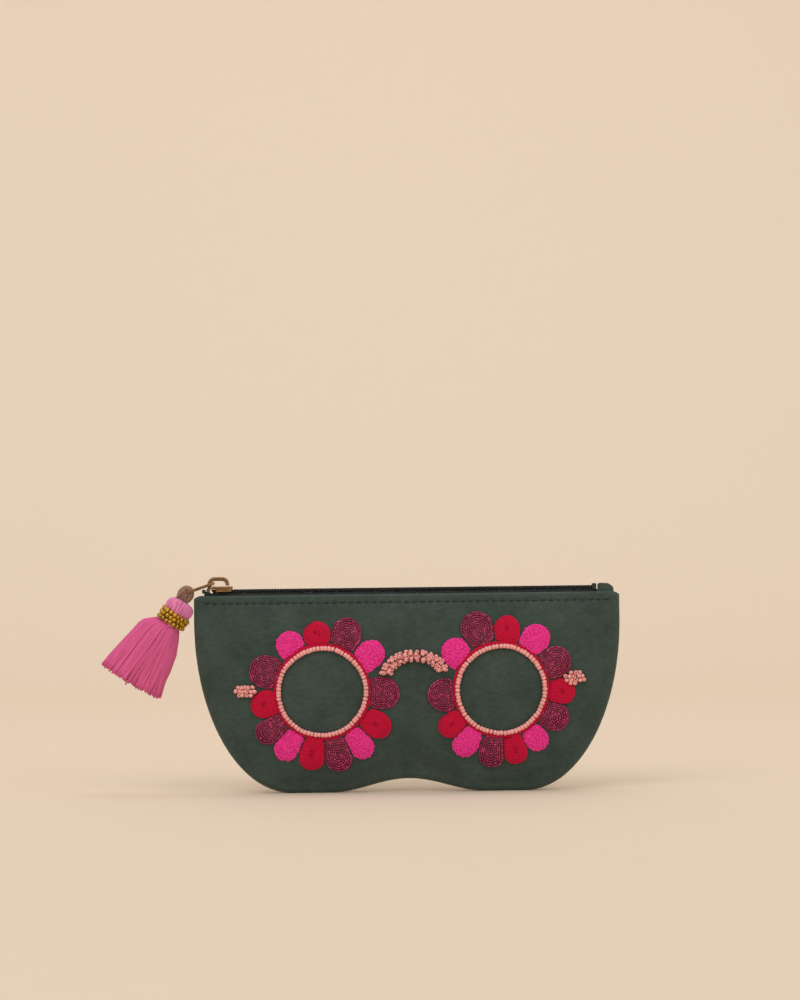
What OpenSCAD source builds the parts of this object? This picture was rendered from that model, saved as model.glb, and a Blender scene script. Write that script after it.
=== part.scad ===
// Soft pouch glasses case: padded faux suede with flower-lens embroidery, a coil zip and a tassel.
// Millimetres. X runs along the zip, -Y is the embroidered front, +Z is up, the floor is z = 0.
// The origin is at the bottom centre of the whole object's box, so the pouch sits at pouch_x.

/* [Pouch] */
// Length of the pouch along the zip
pouch_len = 200; // [180:1:230]
// Height of the panels' folded top edge above the floor
fold_z = 93; // [84:0.5:100]
// Height at which the round lower corners end in straight sides
corner_z = 80; // [60:1:82]
// Distance from the middle to the start of the round corners
corner_x = 55; // [45:1:65]
// Half width of the nose notch in the lower edge
notch_x = 36; // [24:1:40]
// Height of the nose notch
notch_h = 6.2; // [3:0.1:12]
// Distance of the pouch's middle from the origin, to the right
pouch_x = 21.8; // [18:0.1:26]
// Distance of the zip's plane behind the origin
pouch_y = 2.3; // [1.5:0.1:3]

/* [Panels] */
// Half thickness of the closed seam round the edge
seam_half = 3; // [2.6:0.1:3.2]
// Extra depth of each panel in its middle
bulge = 10; // [6:0.5:14]
// Share of that depth lost again at the mouth
mouth_draw = 0.62; // [0.5:0.01:0.66]
// Thickness of the faux suede
skin_t = 1; // [0.7:0.1:1.1]
// Thickness of the padding in the middle of a panel
pad_t = 2; // [1.2:0.1:2.4]
// Thickness of the lining
lining_t = 0.7; // [0.4:0.1:0.8]
// Depth of the hem turned in at the mouth
hem_h = 6; // [4:0.5:9]
// Gap left between neighbouring layers
layer_gap = 0.15; // [0.1:0.01:0.2]
// Distance of the topstitching below the fold
stitch_drop = 3.7; // [3:0.1:5]
// Spacing of the topstitches
stitch_pitch = 3.75; // [3:0.05:5]

/* [Zip] */
// Height of the zip coil
coil_h = 1.9; // [1.5:0.1:2.2]
// Width of one coil row
coil_w = 1.25; // [1:0.05:1.3]
// Height of the coil's underside above the fold
coil_lift = 1.1; // [0.9:0.05:1.4]
// Thickness of the zip tape
tape_t = 0.45; // [0.3:0.05:0.5]
// Length of the slider's top plate
slider_len = 12.3; // [11:0.1:14]
// Width of the slider's top plate
slider_w = 7.2; // [6.4:0.1:8.4]
// Height of the slider's bridge above its top plate
bridge_h = 4.6; // [4.4:0.1:5.2]
// Length of the puller, bridge bar to end rim
puller_len = 13.3; // [12:0.1:16]
// Droop of the puller below level at rest
puller_droop = 18.5; // [15:0.5:20]

/* [Flowers] */
// Radius of the lens outline, at the middle of its beads
lens_r = 20.05; // [19:0.05:21]
// Diameter of the lens outline beads
ring_bead_d = 2.3; // [2:0.1:2.6]
// Beads round one lens
ring_beads = 76; // [68:1:76]
// Thickness of the chain-stitched and knotted petals
petal_t = 1.5; // [1:0.1:2]
// Half width of the gap between neighbouring petals
petal_gap = 0.12; // [0.08:0.01:0.3]
// Diameter of the bridge and temple beads
seed_d = 2.1; // [1.7:0.1:2.2]

/* [Tassel] */
// Angle of the tassel below level at rest
tassel_tilt = 56.7; // [50:0.5:70]
// Diameter of the tassel head
head_d = 13.3; // [10:0.1:14]
// Length of the tassel head
head_l = 7; // [6.4:0.1:11]
// Length of the thread skirt
skirt_l = 33; // [26:0.5:40]
// Width of the thread skirt at its cut end
skirt_w = 33; // [24:0.5:35]
// Depth of the thread skirt at its cut end
skirt_d = 21; // [16:0.5:24]
// Diameter of the collar's beads
collar_bead = 2.1; // [1.8:0.1:2.2]

/* [Hidden] */
half = pouch_len/2;
nx = 36;                       // columns across a panel
nz = 11;                       // rows up a panel
seam_y = 0.08;                 // half the gap where the two panels are sewn together
seam_w = 1.15;                 // width of the sewn edge
coil_z0 = fold_z + coil_lift;
coil_z1 = coil_z0 + coil_h;
zip_x0 = -half + 8;            // closed end of the coils
zip_x1 = half - 10.6;          // stop end of the coils
slider_x = -half + 6;          // left edge of the slider's top plate
plate_z = coil_z1 + 0.15;      // underside of the top plate
plate_t = 1.05;
bridge_t = 1.4;
pin_x = slider_x + 3.0;        // puller's bar inside the bridge
pin_z = plate_z + plate_t + 1.5;
rim_x = pin_x - puller_len*cos(puller_droop);
rim_z = pin_z - puller_len*sin(puller_droop);
loop_r = 2.55;
loop_wire = 1.3;
loop_z = rim_z - 0.4;
tdir = [-cos(tassel_tilt), -sin(tassel_tilt)];
head_x = rim_x + tdir[0]*(loop_r + loop_wire + 0.1);
head_z = loop_z + tdir[1]*(loop_r + loop_wire + 0.1);

left_c = [-39.9, 47.9];
right_c = [43.6, 48.0];
// stitch kind, angle, lobe distance, lobe radius
left_petals = [["pink",124,26.4,6.9], ["crimson",95,26.3,6.6], ["beaded",67,29.5,7.4],
  ["pink",37,29,6.7], ["beaded",-2,28.6,7.7], ["crimson",-32,30.4,6.3], ["pink",-55,31.9,6],
  ["beaded",-77,32.3,6.6], ["crimson",-100,31.5,6], ["pink",-123,31.7,6],
  ["beaded",-144,31.6,6.3], ["crimson",-168,27.8,6.6], ["beaded",-200,28,8]];
right_petals = [["pink",140,27.3,7.1], ["beaded",111,30.7,7.9], ["crimson",84,28.3,6.3],
  ["pink",55,29,6.9], ["beaded",26,28.8,7.4], ["crimson",-3,28.4,6.2], ["beaded",-28,28.2,7],
  ["pink",-55,28.8,5.9], ["crimson",-78,30.3,5.7], ["beaded",-99,31,6.3],
  ["pink",-124,30.8,6.3], ["crimson",-145,29.1,6], ["beaded",-175,26.7,8]];

// Which node to draw, or all of them

// Lower outline, upper outline and depth of a panel; x is measured from the pouch's middle
function low(x) = let (a = abs(x))
  a > corner_x ? corner_z*(1 - sqrt(max(0, 1 - pow((a - corner_x)/(half - corner_x), 2))))
  : a > notch_x ? 0 : notch_h/2*(1 + cos(180*a/notch_x));
function high(x) = fold_z - 1.5*pow(max(0, (abs(x)/half - 0.965)/0.035), 2);
function across(x) = 1 - pow(abs(x)/half, 4);
function rise(x, z) = let (v = max(0, min(1, (z - low(x))/(high(x) - low(x))))) v;
function depth(x, z) = let (v = rise(x, z))
  seam_half + bulge*across(x)*(1 - pow(1 - v, 3))*(1 - mouth_draw*pow(v, 3));
function pad(x, z) = let (v = rise(x, z))
  0.35 + (pad_t - 0.35)*across(x)*(1 - pow(1 - v, 3));
function hem(x) = skin_t + 1.6*across(x);
function col(i, n, w) = w*sin(90*(2*i/n - 1));
function row(j, n) = let (t = j/n) t*(0.75 + 0.25*t);

// A closed solid from a list of loops that all have the same number of points
module loft(loops) {
  n = len(loops);
  m = len(loops[0]);
  polyhedron(points = [for (l = loops) for (p = l) p],
    faces = concat(
      [for (i = [0:n - 2]) for (j = [0:m - 1]) let (k = (j + 1)%m)
        [i*m + j, (i + 1)*m + k, (i + 1)*m + j]],
      [for (i = [0:n - 2]) for (j = [0:m - 1]) let (k = (j + 1)%m)
        [i*m + j, i*m + k, (i + 1)*m + k]],
      [[for (j = [m - 1:-1:0]) j]], [[for (j = [0:m - 1]) (n - 1)*m + j]]));
}

// One layer of the front panel between depths measured inward from the outer face
module skin() {
  loft([for (i = [0:nx]) let (x = col(i, nx, half), a = low(x), b = high(x), h = b - min(hem_h, b - a - 3),
      e = i == 0 || i == nx, lo = a + seam_w)
    concat([for (j = [0:nz]) let (z = a + (b - a)*row(j, nz)) [x, -depth(x, z), z]],
      [[x, e ? -seam_y : -depth(x, b) + hem(x), b], [x, e ? -seam_y : -depth(x, h) + hem(x), h],
       [x, e ? -seam_y : -depth(x, h) + skin_t, h - 0.01]],
      [for (j = [nz - 2:-1:0]) let (z = lo + (h - lo)*row(j, nz - 1))
        [x, e ? -seam_y : -depth(x, z) + skin_t, z]],
      [[x, -seam_y, lo - 0.15], [x, -seam_y, a]])]);
}
module layer(kind, inset) {
  n = nx - 4;
  w = half - inset;
  loft([for (i = [0:n]) let (x = col(i, n, w),
      a = low(x) + inset, b = high(x) - min(hem_h, high(x) - low(x) - 3) - layer_gap)
    concat([for (j = [0:8]) let (z = a + (b - a)*row(j, 8)) [x, -out(kind, x, z), z]],
      [for (j = [8:-1:0]) let (z = a + (b - a)*row(j, 8)) [x, -out(kind + 1, x, z), z]])]);
}
function out(k, x, z) = let (s = depth(x, z) - skin_t - layer_gap)
  k == 0 ? s : k == 1 ? s - pad(x, z)
  : k == 2 ? s - pad(x, z) - layer_gap : s - pad(x, z) - layer_gap - lining_t;

module tape() {
  n = 18;
  loft([for (i = [0:n]) let (x = -half + 5 + (pouch_len - 15.2)*i/n, b = depth(x, high(x)) - hem(x) - layer_gap,
      zz = coil_z0 - 0.1, zl = high(x) - 4.6, b2 = depth(x, zl) - hem(x) - layer_gap)
    [[x, -0.55, zz], [x, -0.55, zz - tape_t], [x, -min(b, b2) + tape_t, zz - tape_t - 0.3],
     [x, -b2 + tape_t, zl], [x, -b2, zl], [x, -b, zz - 0.6 - tape_t], [x, -b, zz - 0.1]]]);
}
module coil() {
  translate([zip_x0, -0.1 - coil_w, coil_z0]) cube([zip_x1 - zip_x0, coil_w, coil_h]);
}
module topstitch() {
  n = floor((pouch_len - 10)/stitch_pitch);
  for (i = [0:n - 1]) let (x = (i - (n - 1)/2)*stitch_pitch, z = high(x) - stitch_drop,
      d = max(depth(x - 1.3, z), depth(x + 1.3, z)) + 0.12)
    translate([x - stitch_pitch*0.34, -d - 0.45, z - 0.25]) cube([stitch_pitch*0.68, 0.45, 0.5]);
}
module top_stop() translate([zip_x0 - 4, -1.6, coil_z0]) cube([1.6, 1.3, coil_h - 0.1]);

// Embroidery: everything is laid on the front face at height lift
function face(c, x, z, lift) = [x, -depth(x, z) - lift, z];
module patch(pts, c, t) {
  n = len(pts);
  g = 0.2;
  function mixp(p, k) = [c[0] + (p[0] - c[0])*k, c[1] + (p[1] - c[1])*k];
  polyhedron(points = concat(
      [for (p = pts) face(0, p[0], p[1], g)],
      [for (p = pts) face(0, p[0], p[1], g + t*0.6)],
      [for (p = pts) let (q = mixp(p, 0.86)) face(0, q[0], q[1], g + t)],
      [for (p = pts) let (q = mixp(p, 0.5)) face(0, q[0], q[1], g)],
      [face(0, c[0], c[1], g + t*1.08), face(0, c[0], c[1], g)]),
    faces = concat(
      [for (i = [0:n - 1]) let (k = (i + 1)%n) [i, k, n + k]],
      [for (i = [0:n - 1]) let (k = (i + 1)%n) [i, n + k, n + i]],
      [for (i = [0:n - 1]) let (k = (i + 1)%n) [n + i, n + k, 2*n + k]],
      [for (i = [0:n - 1]) let (k = (i + 1)%n) [n + i, 2*n + k, 2*n + i]],
      [for (i = [0:n - 1]) let (k = (i + 1)%n) [2*n + i, 2*n + k, 4*n]],
      [for (i = [0:n - 1]) let (k = (i + 1)%n) [i, 3*n + i, 3*n + k]],
      [for (i = [0:n - 1]) let (k = (i + 1)%n) [i, 3*n + k, k]],
      [for (i = [0:n - 1]) let (k = (i + 1)%n) [3*n + i, 4*n + 1, 3*n + k]]));
}
base_r0 = lens_r + ring_bead_d/2 + 0.12;
base_r1 = base_r0 + 1.1;
function half_ang(p) = asin(p[3]/p[2]);
function reach(t, a, d, r, b0, b1) = let (
    ri = base_r1 + 0.12,
    lobe = abs(t) < 90 ? r : r/abs(sin(t)),
    d0 = sin(a - b0)*d - petal_gap, s0 = sin(t + a - b0),
    d1 = sin(b1 - a)*d - petal_gap, s1 = sin(b1 - t - a),
    e0 = s0 < -0.001 ? -d0/s0 : 1e3,
    e1 = s1 < -0.001 ? -d1/s1 : 1e3,
    q = pow(d*cos(t), 2) - d*d + ri*ri,
    ein = cos(t) < 0 && q > 0 ? -d*cos(t) - sqrt(q) : 1e3)
  min(lobe, e0, e1, ein, d - ri + 4);
module petal(c, list, i) {
  n = len(list);
  p = list[i];
  pa = list[(i + n - 1)%n];
  pb = list[(i + 1)%n];
  a = p[1];
  up = ((pa[1] - a)%360 + 360)%360;
  dn = ((a - pb[1])%360 + 360)%360;
  b1 = a + up*half_ang(p)/(half_ang(p) + half_ang(pa));
  b0 = a - dn*half_ang(p)/(half_ang(p) + half_ang(pb));
  cc = [c[0] + p[2]*cos(a), c[1] + p[2]*sin(a)];
  m = 22;
  patch([for (k = [0:m - 1]) let (t = -180 + 360*(k + 0.5)/m, e = reach(t, a, p[2], p[3], b0, b1))
    [cc[0] + e*cos(t + a), cc[1] + e*sin(t + a)]], cc, petal_t);
}
module petal_base(c) {
  n = 48;
  pts = [for (i = [0:n - 1]) let (a = 360*i/n)
    for (q = [[base_r0, 0.2], [base_r1, 0.2], [base_r1, 1.0], [base_r0, 1.0]])
      face(0, c[0] + q[0]*cos(a), c[1] + q[0]*sin(a), q[1])];
  polyhedron(points = pts, faces = concat(
    [for (i = [0:n - 1]) for (j = [0:3]) let (k = (j + 1)%4, u = (i + 1)%n) [i*4 + j, u*4 + k, u*4 + j]],
    [for (i = [0:n - 1]) for (j = [0:3]) let (k = (j + 1)%4, u = (i + 1)%n) [i*4 + j, i*4 + k, u*4 + k]]));
}
module bead_at(x, z, turn, d, l, lift) {
  translate([x, -depth(x, z) - 0.15 - d/2 - lift, z]) rotate([0, -turn, 0]) rotate([0, 90, 0])
    cylinder(d = d, h = l, center = true, $fn = 10);
}
module lens_beads(c) {
  pitch = 360/ring_beads;
  for (i = [0:ring_beads - 1]) let (a = i*pitch)
    bead_at(c[0] + lens_r*cos(a), c[1] + lens_r*sin(a), a + 90, ring_bead_d,
      2*(lens_r - ring_bead_d/2)*sin(pitch/2)*0.96, 0.1);
}
// Bead rope over the nose: an arch from the left end over the top to the right end
function arch(t) = let (a = 180*(1 - t)) [3.1 + 11.6*cos(a), 57.2 + 0.5*(2*t - 1) + 7.3*sin(a)];
module rope_row(n, o, lift, l) {
  for (i = [0:n - 1]) let (t = i/(n - 1), p = arch(t), q0 = arch(max(0, t - 0.02)), q1 = arch(min(1, t + 0.02)),
      a = atan2(q1[1] - q0[1], q1[0] - q0[0]))
    bead_at(p[0] - o*sin(a), p[1] + o*cos(a), a, seed_d, l, lift);
}
module nose_bridge() {
  step = seed_d + 0.12;
  rope_row(9, -step, 0.1, seed_d*0.48);
  rope_row(12, 0, 0.1, seed_d*0.7);
  rope_row(14, step, 0.1, seed_d*0.8);
  rope_row(12, 0, step + 0.15, seed_d*0.7);
}
module temple(list) for (i = [0:len(list) - 1])
  bead_at(list[i][0], list[i][1], list[i][2], seed_d, seed_d*0.85, list[i][3]);
up1 = seed_d + 0.25;
left_temple = [for (k = [0:3]) [-80.6 + 2.3*k, 49.7, 0, 0.1], for (k = [0:2]) [-79.5 + 2.3*k, 47.4, 0, 0.1],
  for (k = [0:2]) [-79.4 + 2.3*k, 48.7, 0, up1 - 0.25]];
right_temple = [for (k = [0:3]) [76.1 + 2.3*k, 54.6 - 0.5*k, -12, 0.1],
  for (k = [0:2]) [78.3 + 2.3*k, 51.3 - 0.5*k, -12, 0.1],
  for (k = [0:2]) [77.7 + 2.3*k, 53 - 0.5*k, -12, up1 - 0.25]];

module end_tab() {
  translate([half - 10, 1.6, 0]) rotate([90, 0, 0]) linear_extrude(height = 3.2)
    polygon(concat([[0, fold_z - 5], [7, fold_z - 5]],
      [for (a = [0:15:90]) [5 + 2*cos(a), coil_z1 - 1.4 + 2*sin(a)]],
      [[0, coil_z1 + 0.6]]));
}
module bottom_stop() {
  translate([zip_x1 - 2.2, -1.85, coil_z1 + 0.1]) cube([2, 3.7, 0.7]);
  for (s = [-1, 1]) translate([zip_x1 - 2.2, s*1.65 - 0.2, coil_z0 - 0.05]) cube([2, 0.4, coil_h + 0.2]);
}
module slider_body() {
  w = slider_w/2;
  // top plate, narrower at the tail
  translate([slider_x, 0, plate_z]) linear_extrude(height = plate_t)
    polygon([[1.5, -w], [slider_len - 2, -w*0.8], [slider_len, -w*0.62], [slider_len, w*0.62],
      [slider_len - 2, w*0.8], [1.5, w], [0.6, w*0.7], [0.6, -w*0.7]]);
  // side flanges
  for (s = [-1, 1]) translate([slider_x + 4.6, s > 0 ? 1.6 : -2.6, coil_z0 + 0.75])
    cube([7.4, 1, plate_z - coil_z0 - 0.65]);
  // wedge between the coils, and the lower plate it carries
  translate([slider_x, -0.4, coil_z0 - 1.3]) cube([1.7, 0.8, plate_z - coil_z0 + 1.3]);
  translate([slider_x + 0.6, -0.4, plate_z - 0.1]) cube([1.1, 0.8, 0.3]);
  translate([slider_x, -1.2, coil_z0 - 1.6]) cube([9.5, 2.4, 0.5]);
}
function arc_pts(cx, cz, r, a0, a1, n) =
  [for (i = [0:n]) let (a = a0 + (a1 - a0)*i/n) [cx + r*cos(a), cz + r*sin(a)]];
module slider_bridge() {
  x0 = slider_x + 0.6;
  x1 = x0 + 10.1;
  z0 = plate_z + plate_t;
  z1 = z0 + bridge_h;
  r = 2.2;
  translate([0, 1.3, 0]) rotate([90, 0, 0]) linear_extrude(height = 2.6)
    polygon(concat([[x0, z0 + 0.02]],
      arc_pts(x0 + r, z1 - r, r, 180, 90, 5), arc_pts(x1 - r, z1 - r, r, 90, 0, 5),
      [[x1, z0 + 0.8], [x1 - bridge_t, z0 + 0.8]],
      arc_pts(x1 - r, z1 - r, r - bridge_t, 0, 90, 4), arc_pts(x0 + r, z1 - r, r - bridge_t, 90, 180, 4),
      [[x0 + bridge_t, z0 + 0.02]]));
}
module puller() {
  // drawn along +X from its bar, then turned into its droop
  translate([pin_x, 0, pin_z]) rotate([0, 180 - puller_droop, 0]) translate([0, 0, -0.55])
    linear_extrude(height = 1.1) difference() {
      polygon([[-0.55, -2.4], [-0.55, 2.4], [4.6, 2.7], [7.4, 2.2], [puller_len - 3.4, 2.9],
        [puller_len - 0.6, 2.4], [puller_len + 0.55, 1.3], [puller_len + 0.55, -1.3], [puller_len - 0.6, -2.4],
        [puller_len - 3.4, -2.9], [7.4, -2.2], [4.6, -2.7]]);
      polygon([[0.55, -1.6], [5.4, -1.6], [5.4, 1.6], [0.55, 1.6]]);
      polygon([[puller_len - 4.6, -1.65], [puller_len - 0.55, -1.65],
        [puller_len - 0.55, 1.65], [puller_len - 4.6, 1.65]]);
    }
}
module tassel_loop() translate([rim_x, 0, loop_z]) rotate([90, 0, 0])
  rotate_extrude($fn = 28) translate([loop_r, 0]) circle(r = loop_wire, $fn = 12);

// The tassel is drawn hanging down from its top at the origin, then leaned over
module hang() translate([head_x, 0, head_z]) rotate([0, 90 - tassel_tilt, 0]) children();
module tassel_head() hang() rotate_extrude($fn = 32)
  polygon([[0, 0], [2.2, -0.15], [4.4, -1.1], [6, -2.9], [head_d/2, -5.2], [head_d/2 - 0.2, -head_l + 0.6],
    [head_d/2 - 1.1, -head_l], [0, -head_l]]);
module tassel_collar() hang() {
  n = 20;
  for (r = [0:2]) for (i = [0:n - 1])
    rotate([0, 0, 360*(i + r*0.5)/n])
      translate([head_d/2 - 0.1, 0, -head_l - collar_bead/2 - r*(collar_bead*0.98 + 0.08)])
      rotate([90, 0, 0]) cylinder(d = collar_bead - 0.1, h = 1.75, center = true, $fn = 8);
}
module tassel_skirt() hang() {
  n = 24;
  top = -head_l - 0.15;
  rows = [[0, 5.4, 5.4], [6.8, 5.35, 5.35], [7.1, 6.6, 6.4], [14, skirt_w*0.32, skirt_d*0.40],
    [24, skirt_w*0.42, skirt_d*0.46], [skirt_l + 4.6, skirt_w*0.5, skirt_d*0.5]];
  loft([for (q = rows) [for (i = [0:n - 1]) let (a = 360*i/n)
    [q[1]*cos(a), q[2]*sin(a), top - q[0] - (q[0] > 30 ? 1.2*cos(3*a) : 0)]]]);
}

translate([pouch_x, pouch_y, 0]) {
  color([0.24, 0.29, 0.26]) mirror([0, 1, 0]) skin();  // back_panel
  color([0.9, 0.88, 0.8]) mirror([0, 1, 0]) layer(0, 1.4);  // back_padding
  color([0.35, 0.4, 0.36]) mirror([0, 1, 0]) layer(2, 1.4);  // back_lining
  color([0.1, 0.16, 0.13]) mirror([0, 1, 0]) tape();  // back_zip_tape
  color([0.08, 0.12, 0.1]) mirror([0, 1, 0]) coil();  // back_zip_coil
  color([0.12, 0.2, 0.16]) mirror([0, 1, 0]) topstitch();  // back_topstitch
  color([0.24, 0.29, 0.26]) end_tab();  // zip_end_tab
  color([0.5, 0.37, 0.18]) bottom_stop();  // zip_bottom_stop
  color([0.5, 0.37, 0.18]) mirror([0, 1, 0]) top_stop();  // back_top_stop
  color([0.24, 0.29, 0.26]) skin();  // front_panel
  color([0.9, 0.88, 0.8]) layer(0, 1.4);  // front_padding
  color([0.35, 0.4, 0.36]) layer(2, 1.4);  // front_lining
  color([0.1, 0.16, 0.13]) tape();  // front_zip_tape
  color([0.08, 0.12, 0.1]) coil();  // front_zip_coil
  color([0.12, 0.2, 0.16]) topstitch();  // front_topstitch
  color([0.5, 0.37, 0.18]) top_stop();  // front_top_stop
  for (i = [0:12]) {
    color(dye(left_petals[i][0])) petal(left_c, left_petals, i);
    color(dye(right_petals[i][0])) petal(right_c, right_petals, i);
  }
  color(dye("crimson")) petal_base(left_c);  // left_petal_base
  color(dye("crimson")) petal_base(right_c);  // right_petal_base
  color(dye("blush")) lens_beads(left_c);  // left_lens_beads
  color(dye("blush")) lens_beads(right_c);  // right_lens_beads
  color(dye("blush")) nose_bridge();  // nose_bridge_beads
  color(dye("blush")) temple(left_temple);  // left_temple_beads
  color(dye("blush")) temple(right_temple);  // right_temple_beads
  color([0.5, 0.37, 0.18]) slider_body();
  color([0.5, 0.37, 0.18]) slider_bridge();
  color([0.5, 0.37, 0.18]) puller();
  color([0.55, 0.4, 0.32]) tassel_loop();
  color(dye("tassel")) tassel_head();
  color([0.78, 0.6, 0.1]) tassel_collar();  // tassel_collar_beads
  color(dye("tassel")) tassel_skirt();
}

function dye(k) = k == "pink" ? [0.93, 0.2, 0.55] : k == "crimson" ? [0.78, 0.02, 0.2]
  : k == "beaded" ? [0.5, 0.02, 0.24] : k == "blush" ? [0.94, 0.62, 0.6] : [0.88, 0.4, 0.6];
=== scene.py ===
"""Soft pouch glasses case: padded faux suede, flower-lens embroidery, a coil zip and a tassel.

Laid out as an add-on and run as a script. Lengths inside the shape functions are in
millimetres, measured from the pouch's middle along the zip (x), from the seam between its two
halves (y) and from the floor (z). Meshes are made in metres in the frame's own axes.
"""

import math

import bmesh
import bpy
import numpy as np
from bpy.props import FloatProperty, FloatVectorProperty, IntProperty, PointerProperty
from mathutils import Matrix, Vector


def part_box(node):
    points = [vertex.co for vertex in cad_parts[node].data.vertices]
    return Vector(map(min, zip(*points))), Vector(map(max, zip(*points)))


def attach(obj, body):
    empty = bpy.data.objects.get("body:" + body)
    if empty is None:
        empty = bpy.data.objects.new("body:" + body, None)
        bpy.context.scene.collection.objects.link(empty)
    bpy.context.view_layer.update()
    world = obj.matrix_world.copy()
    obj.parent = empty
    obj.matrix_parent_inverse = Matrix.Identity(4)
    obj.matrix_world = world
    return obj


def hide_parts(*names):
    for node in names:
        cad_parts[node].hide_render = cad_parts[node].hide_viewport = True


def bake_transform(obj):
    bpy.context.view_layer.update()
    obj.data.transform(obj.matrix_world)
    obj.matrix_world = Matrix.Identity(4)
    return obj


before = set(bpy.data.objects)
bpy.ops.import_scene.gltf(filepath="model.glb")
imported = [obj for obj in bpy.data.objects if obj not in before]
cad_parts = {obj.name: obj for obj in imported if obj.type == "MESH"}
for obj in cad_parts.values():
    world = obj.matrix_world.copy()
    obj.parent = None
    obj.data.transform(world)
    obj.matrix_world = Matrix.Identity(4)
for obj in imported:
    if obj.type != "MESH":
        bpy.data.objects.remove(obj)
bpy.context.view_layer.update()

bl_info = {
    "name": "Soft pouch glasses case",
    "version": (1, 0, 0),
    "blender": (4, 5, 0),
    "location": "View3D > Sidebar > Pouch",
    "description": "Builds a zipped, padded glasses pouch with flower embroidery and a tassel",
    "category": "Add Mesh",
}

BACK, FRONT = "pouch_back", "pouch_front"
MM = 0.001


def box_mm(node):
    lo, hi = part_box(node)
    return np.array(lo) / MM, np.array(hi) / MM


front_lo, front_hi = box_mm("front_panel")
back_lo = box_mm("back_panel")[0]
MID_X = (front_lo[0] + front_hi[0]) / 2
SEAM_Y = (front_hi[1] + back_lo[1]) / 2
HALF = (front_hi[0] - front_lo[0]) / 2
FOLD_Z = front_hi[2]
ORIGIN = np.array([MID_X, SEAM_Y, 0.0])
coil_lo, coil_hi = (c - ORIGIN for c in box_mm("back_zip_coil"))
slider_lo, slider_hi = (c - ORIGIN for c in box_mm("slider_body"))
bridge_lo, bridge_hi = (c - ORIGIN for c in box_mm("slider_bridge"))
loop_lo, loop_hi = (c - ORIGIN for c in box_mm("tassel_loop"))


# --------------------------------------------------------------------------- settings
def length(label, text, metres, low=0.0001, high=0.3):
    return FloatProperty(name=label, description=text, default=metres, min=low, max=high,
                         unit="LENGTH", subtype="DISTANCE", precision=5)


def dye(label, text, rgb):
    return FloatVectorProperty(name=label, description=text, default=rgb, size=3,
                               min=0.0, max=1.0, subtype="COLOR")


class PouchSizes(bpy.types.PropertyGroup):
    corner_z: length("Corner height", "Height where the round corners end", 0.080)
    corner_x: length("Corner start", "Distance from the middle to the round corners", 0.055)
    notch_x: length("Notch half width", "Half width of the nose notch", 0.036)
    notch_h: length("Notch height", "Height of the nose notch", 0.0062)
    seam_half: length("Seam half thickness", "Depth of a panel just inside its seam", 0.0030)
    bulge: length("Bulge", "Extra depth in the middle of a panel", 0.010)
    mouth_draw: FloatProperty(name="Mouth draw", description="Share of the bulge lost at the mouth",
                              default=0.62, min=0.4, max=0.7)
    hem: length("Hem", "Depth of the hem turned in at the mouth", 0.006)
    stitch_drop: length("Stitch drop", "Topstitching below the fold", 0.0037)
    stitch_pitch: length("Stitch pitch", "Spacing of the topstitches", 0.00375)
    coil_pitch: length("Coil pitch", "Spacing of the zip's coils", 0.00135)
    lens_radius: length("Lens radius", "Radius of the beaded lens outline", 0.02005)
    lens_bead: length("Lens bead", "Diameter of a lens outline bead", 0.0023)
    lens_beads: IntProperty(name="Lens beads", description="Beads round one lens", default=76,
                            min=40, max=90)
    seed_bead: length("Seed bead", "Diameter of a bridge or temple bead", 0.0021)
    knot: length("Knot spacing", "Spacing of the stitched knots", 0.00084)
    chain_row: length("Chain row", "Spacing of the chain-stitch rows", 0.00094)
    bead_row: length("Bead row", "Spacing of the couched bead rows", 0.00104)
    gold_bead: length("Collar bead", "Diameter of a collar bead", 0.0021)
    tassel_lean: FloatProperty(name="Tassel lean", description="Tassel's angle below level",
                               default=math.radians(56.7), subtype="ANGLE", unit="ROTATION")
    tassel_threads: IntProperty(name="Tassel threads", description="Threads in the skirt",
                                default=520, min=60, max=1200)
    skirt_length: length("Skirt length", "Length of the thread skirt", 0.0330)
    skirt_width: length("Skirt width", "Width of the skirt at its cut end", 0.0315)
    skirt_depth: length("Skirt depth", "Depth of the skirt at its cut end", 0.0200)
    thread: length("Thread", "Thickness of a tassel thread", 0.00085)


class PouchColours(bpy.types.PropertyGroup):
    suede: dye("Suede", "Faux suede", (0.032, 0.05, 0.039))
    lining: dye("Lining", "Woven lining", (0.06, 0.085, 0.07))
    tape: dye("Zip tape", "Woven zip tape", (0.01, 0.02, 0.017))
    coil: dye("Zip coil", "Nylon coil", (0.004, 0.009, 0.008))
    stitch: dye("Topstitch", "Topstitching thread", (0.008, 0.016, 0.012))
    brass: dye("Brass", "Rubbed brass", (0.4, 0.235, 0.105))
    patina: dye("Patina", "Dark antiquing in the brass", (0.085, 0.047, 0.023))
    pink: dye("Hot pink", "Knot-stitched petals", (0.95, 0.038, 0.33))
    crimson: dye("Crimson", "Chain-stitched petals", (0.56, 0.0002, 0.036))
    magenta: dye("Magenta", "Beaded petals", (0.22, 0.0004, 0.04))
    # Painted glints: the few brightest beadwork beads take this colour in place of glints of light.
    painted_glint: dye("Sparkle", "Brightest magenta beads", (0.62, 0.03, 0.16))
    blush: dye("Blush", "Lens, bridge and temple beads", (0.88, 0.36, 0.33))
    tassel: dye("Tassel", "Skirt threads", (0.78, 0.125, 0.32))
    head: dye("Tassel head", "Head threads", (0.84, 0.25, 0.48))
    taupe: dye("Loop", "Tassel loop thread", (0.3, 0.175, 0.115))
    gold: dye("Gold", "Collar beads", (0.62, 0.34, 0.01))
    floor: dye("Floor", "Floor and backdrop", (0.8, 0.665, 0.525))


def sizes():
    return bpy.context.scene.pouch_sizes


def colours():
    return bpy.context.scene.pouch_colours


def mm(name):
    return getattr(sizes(), name) / MM


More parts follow.
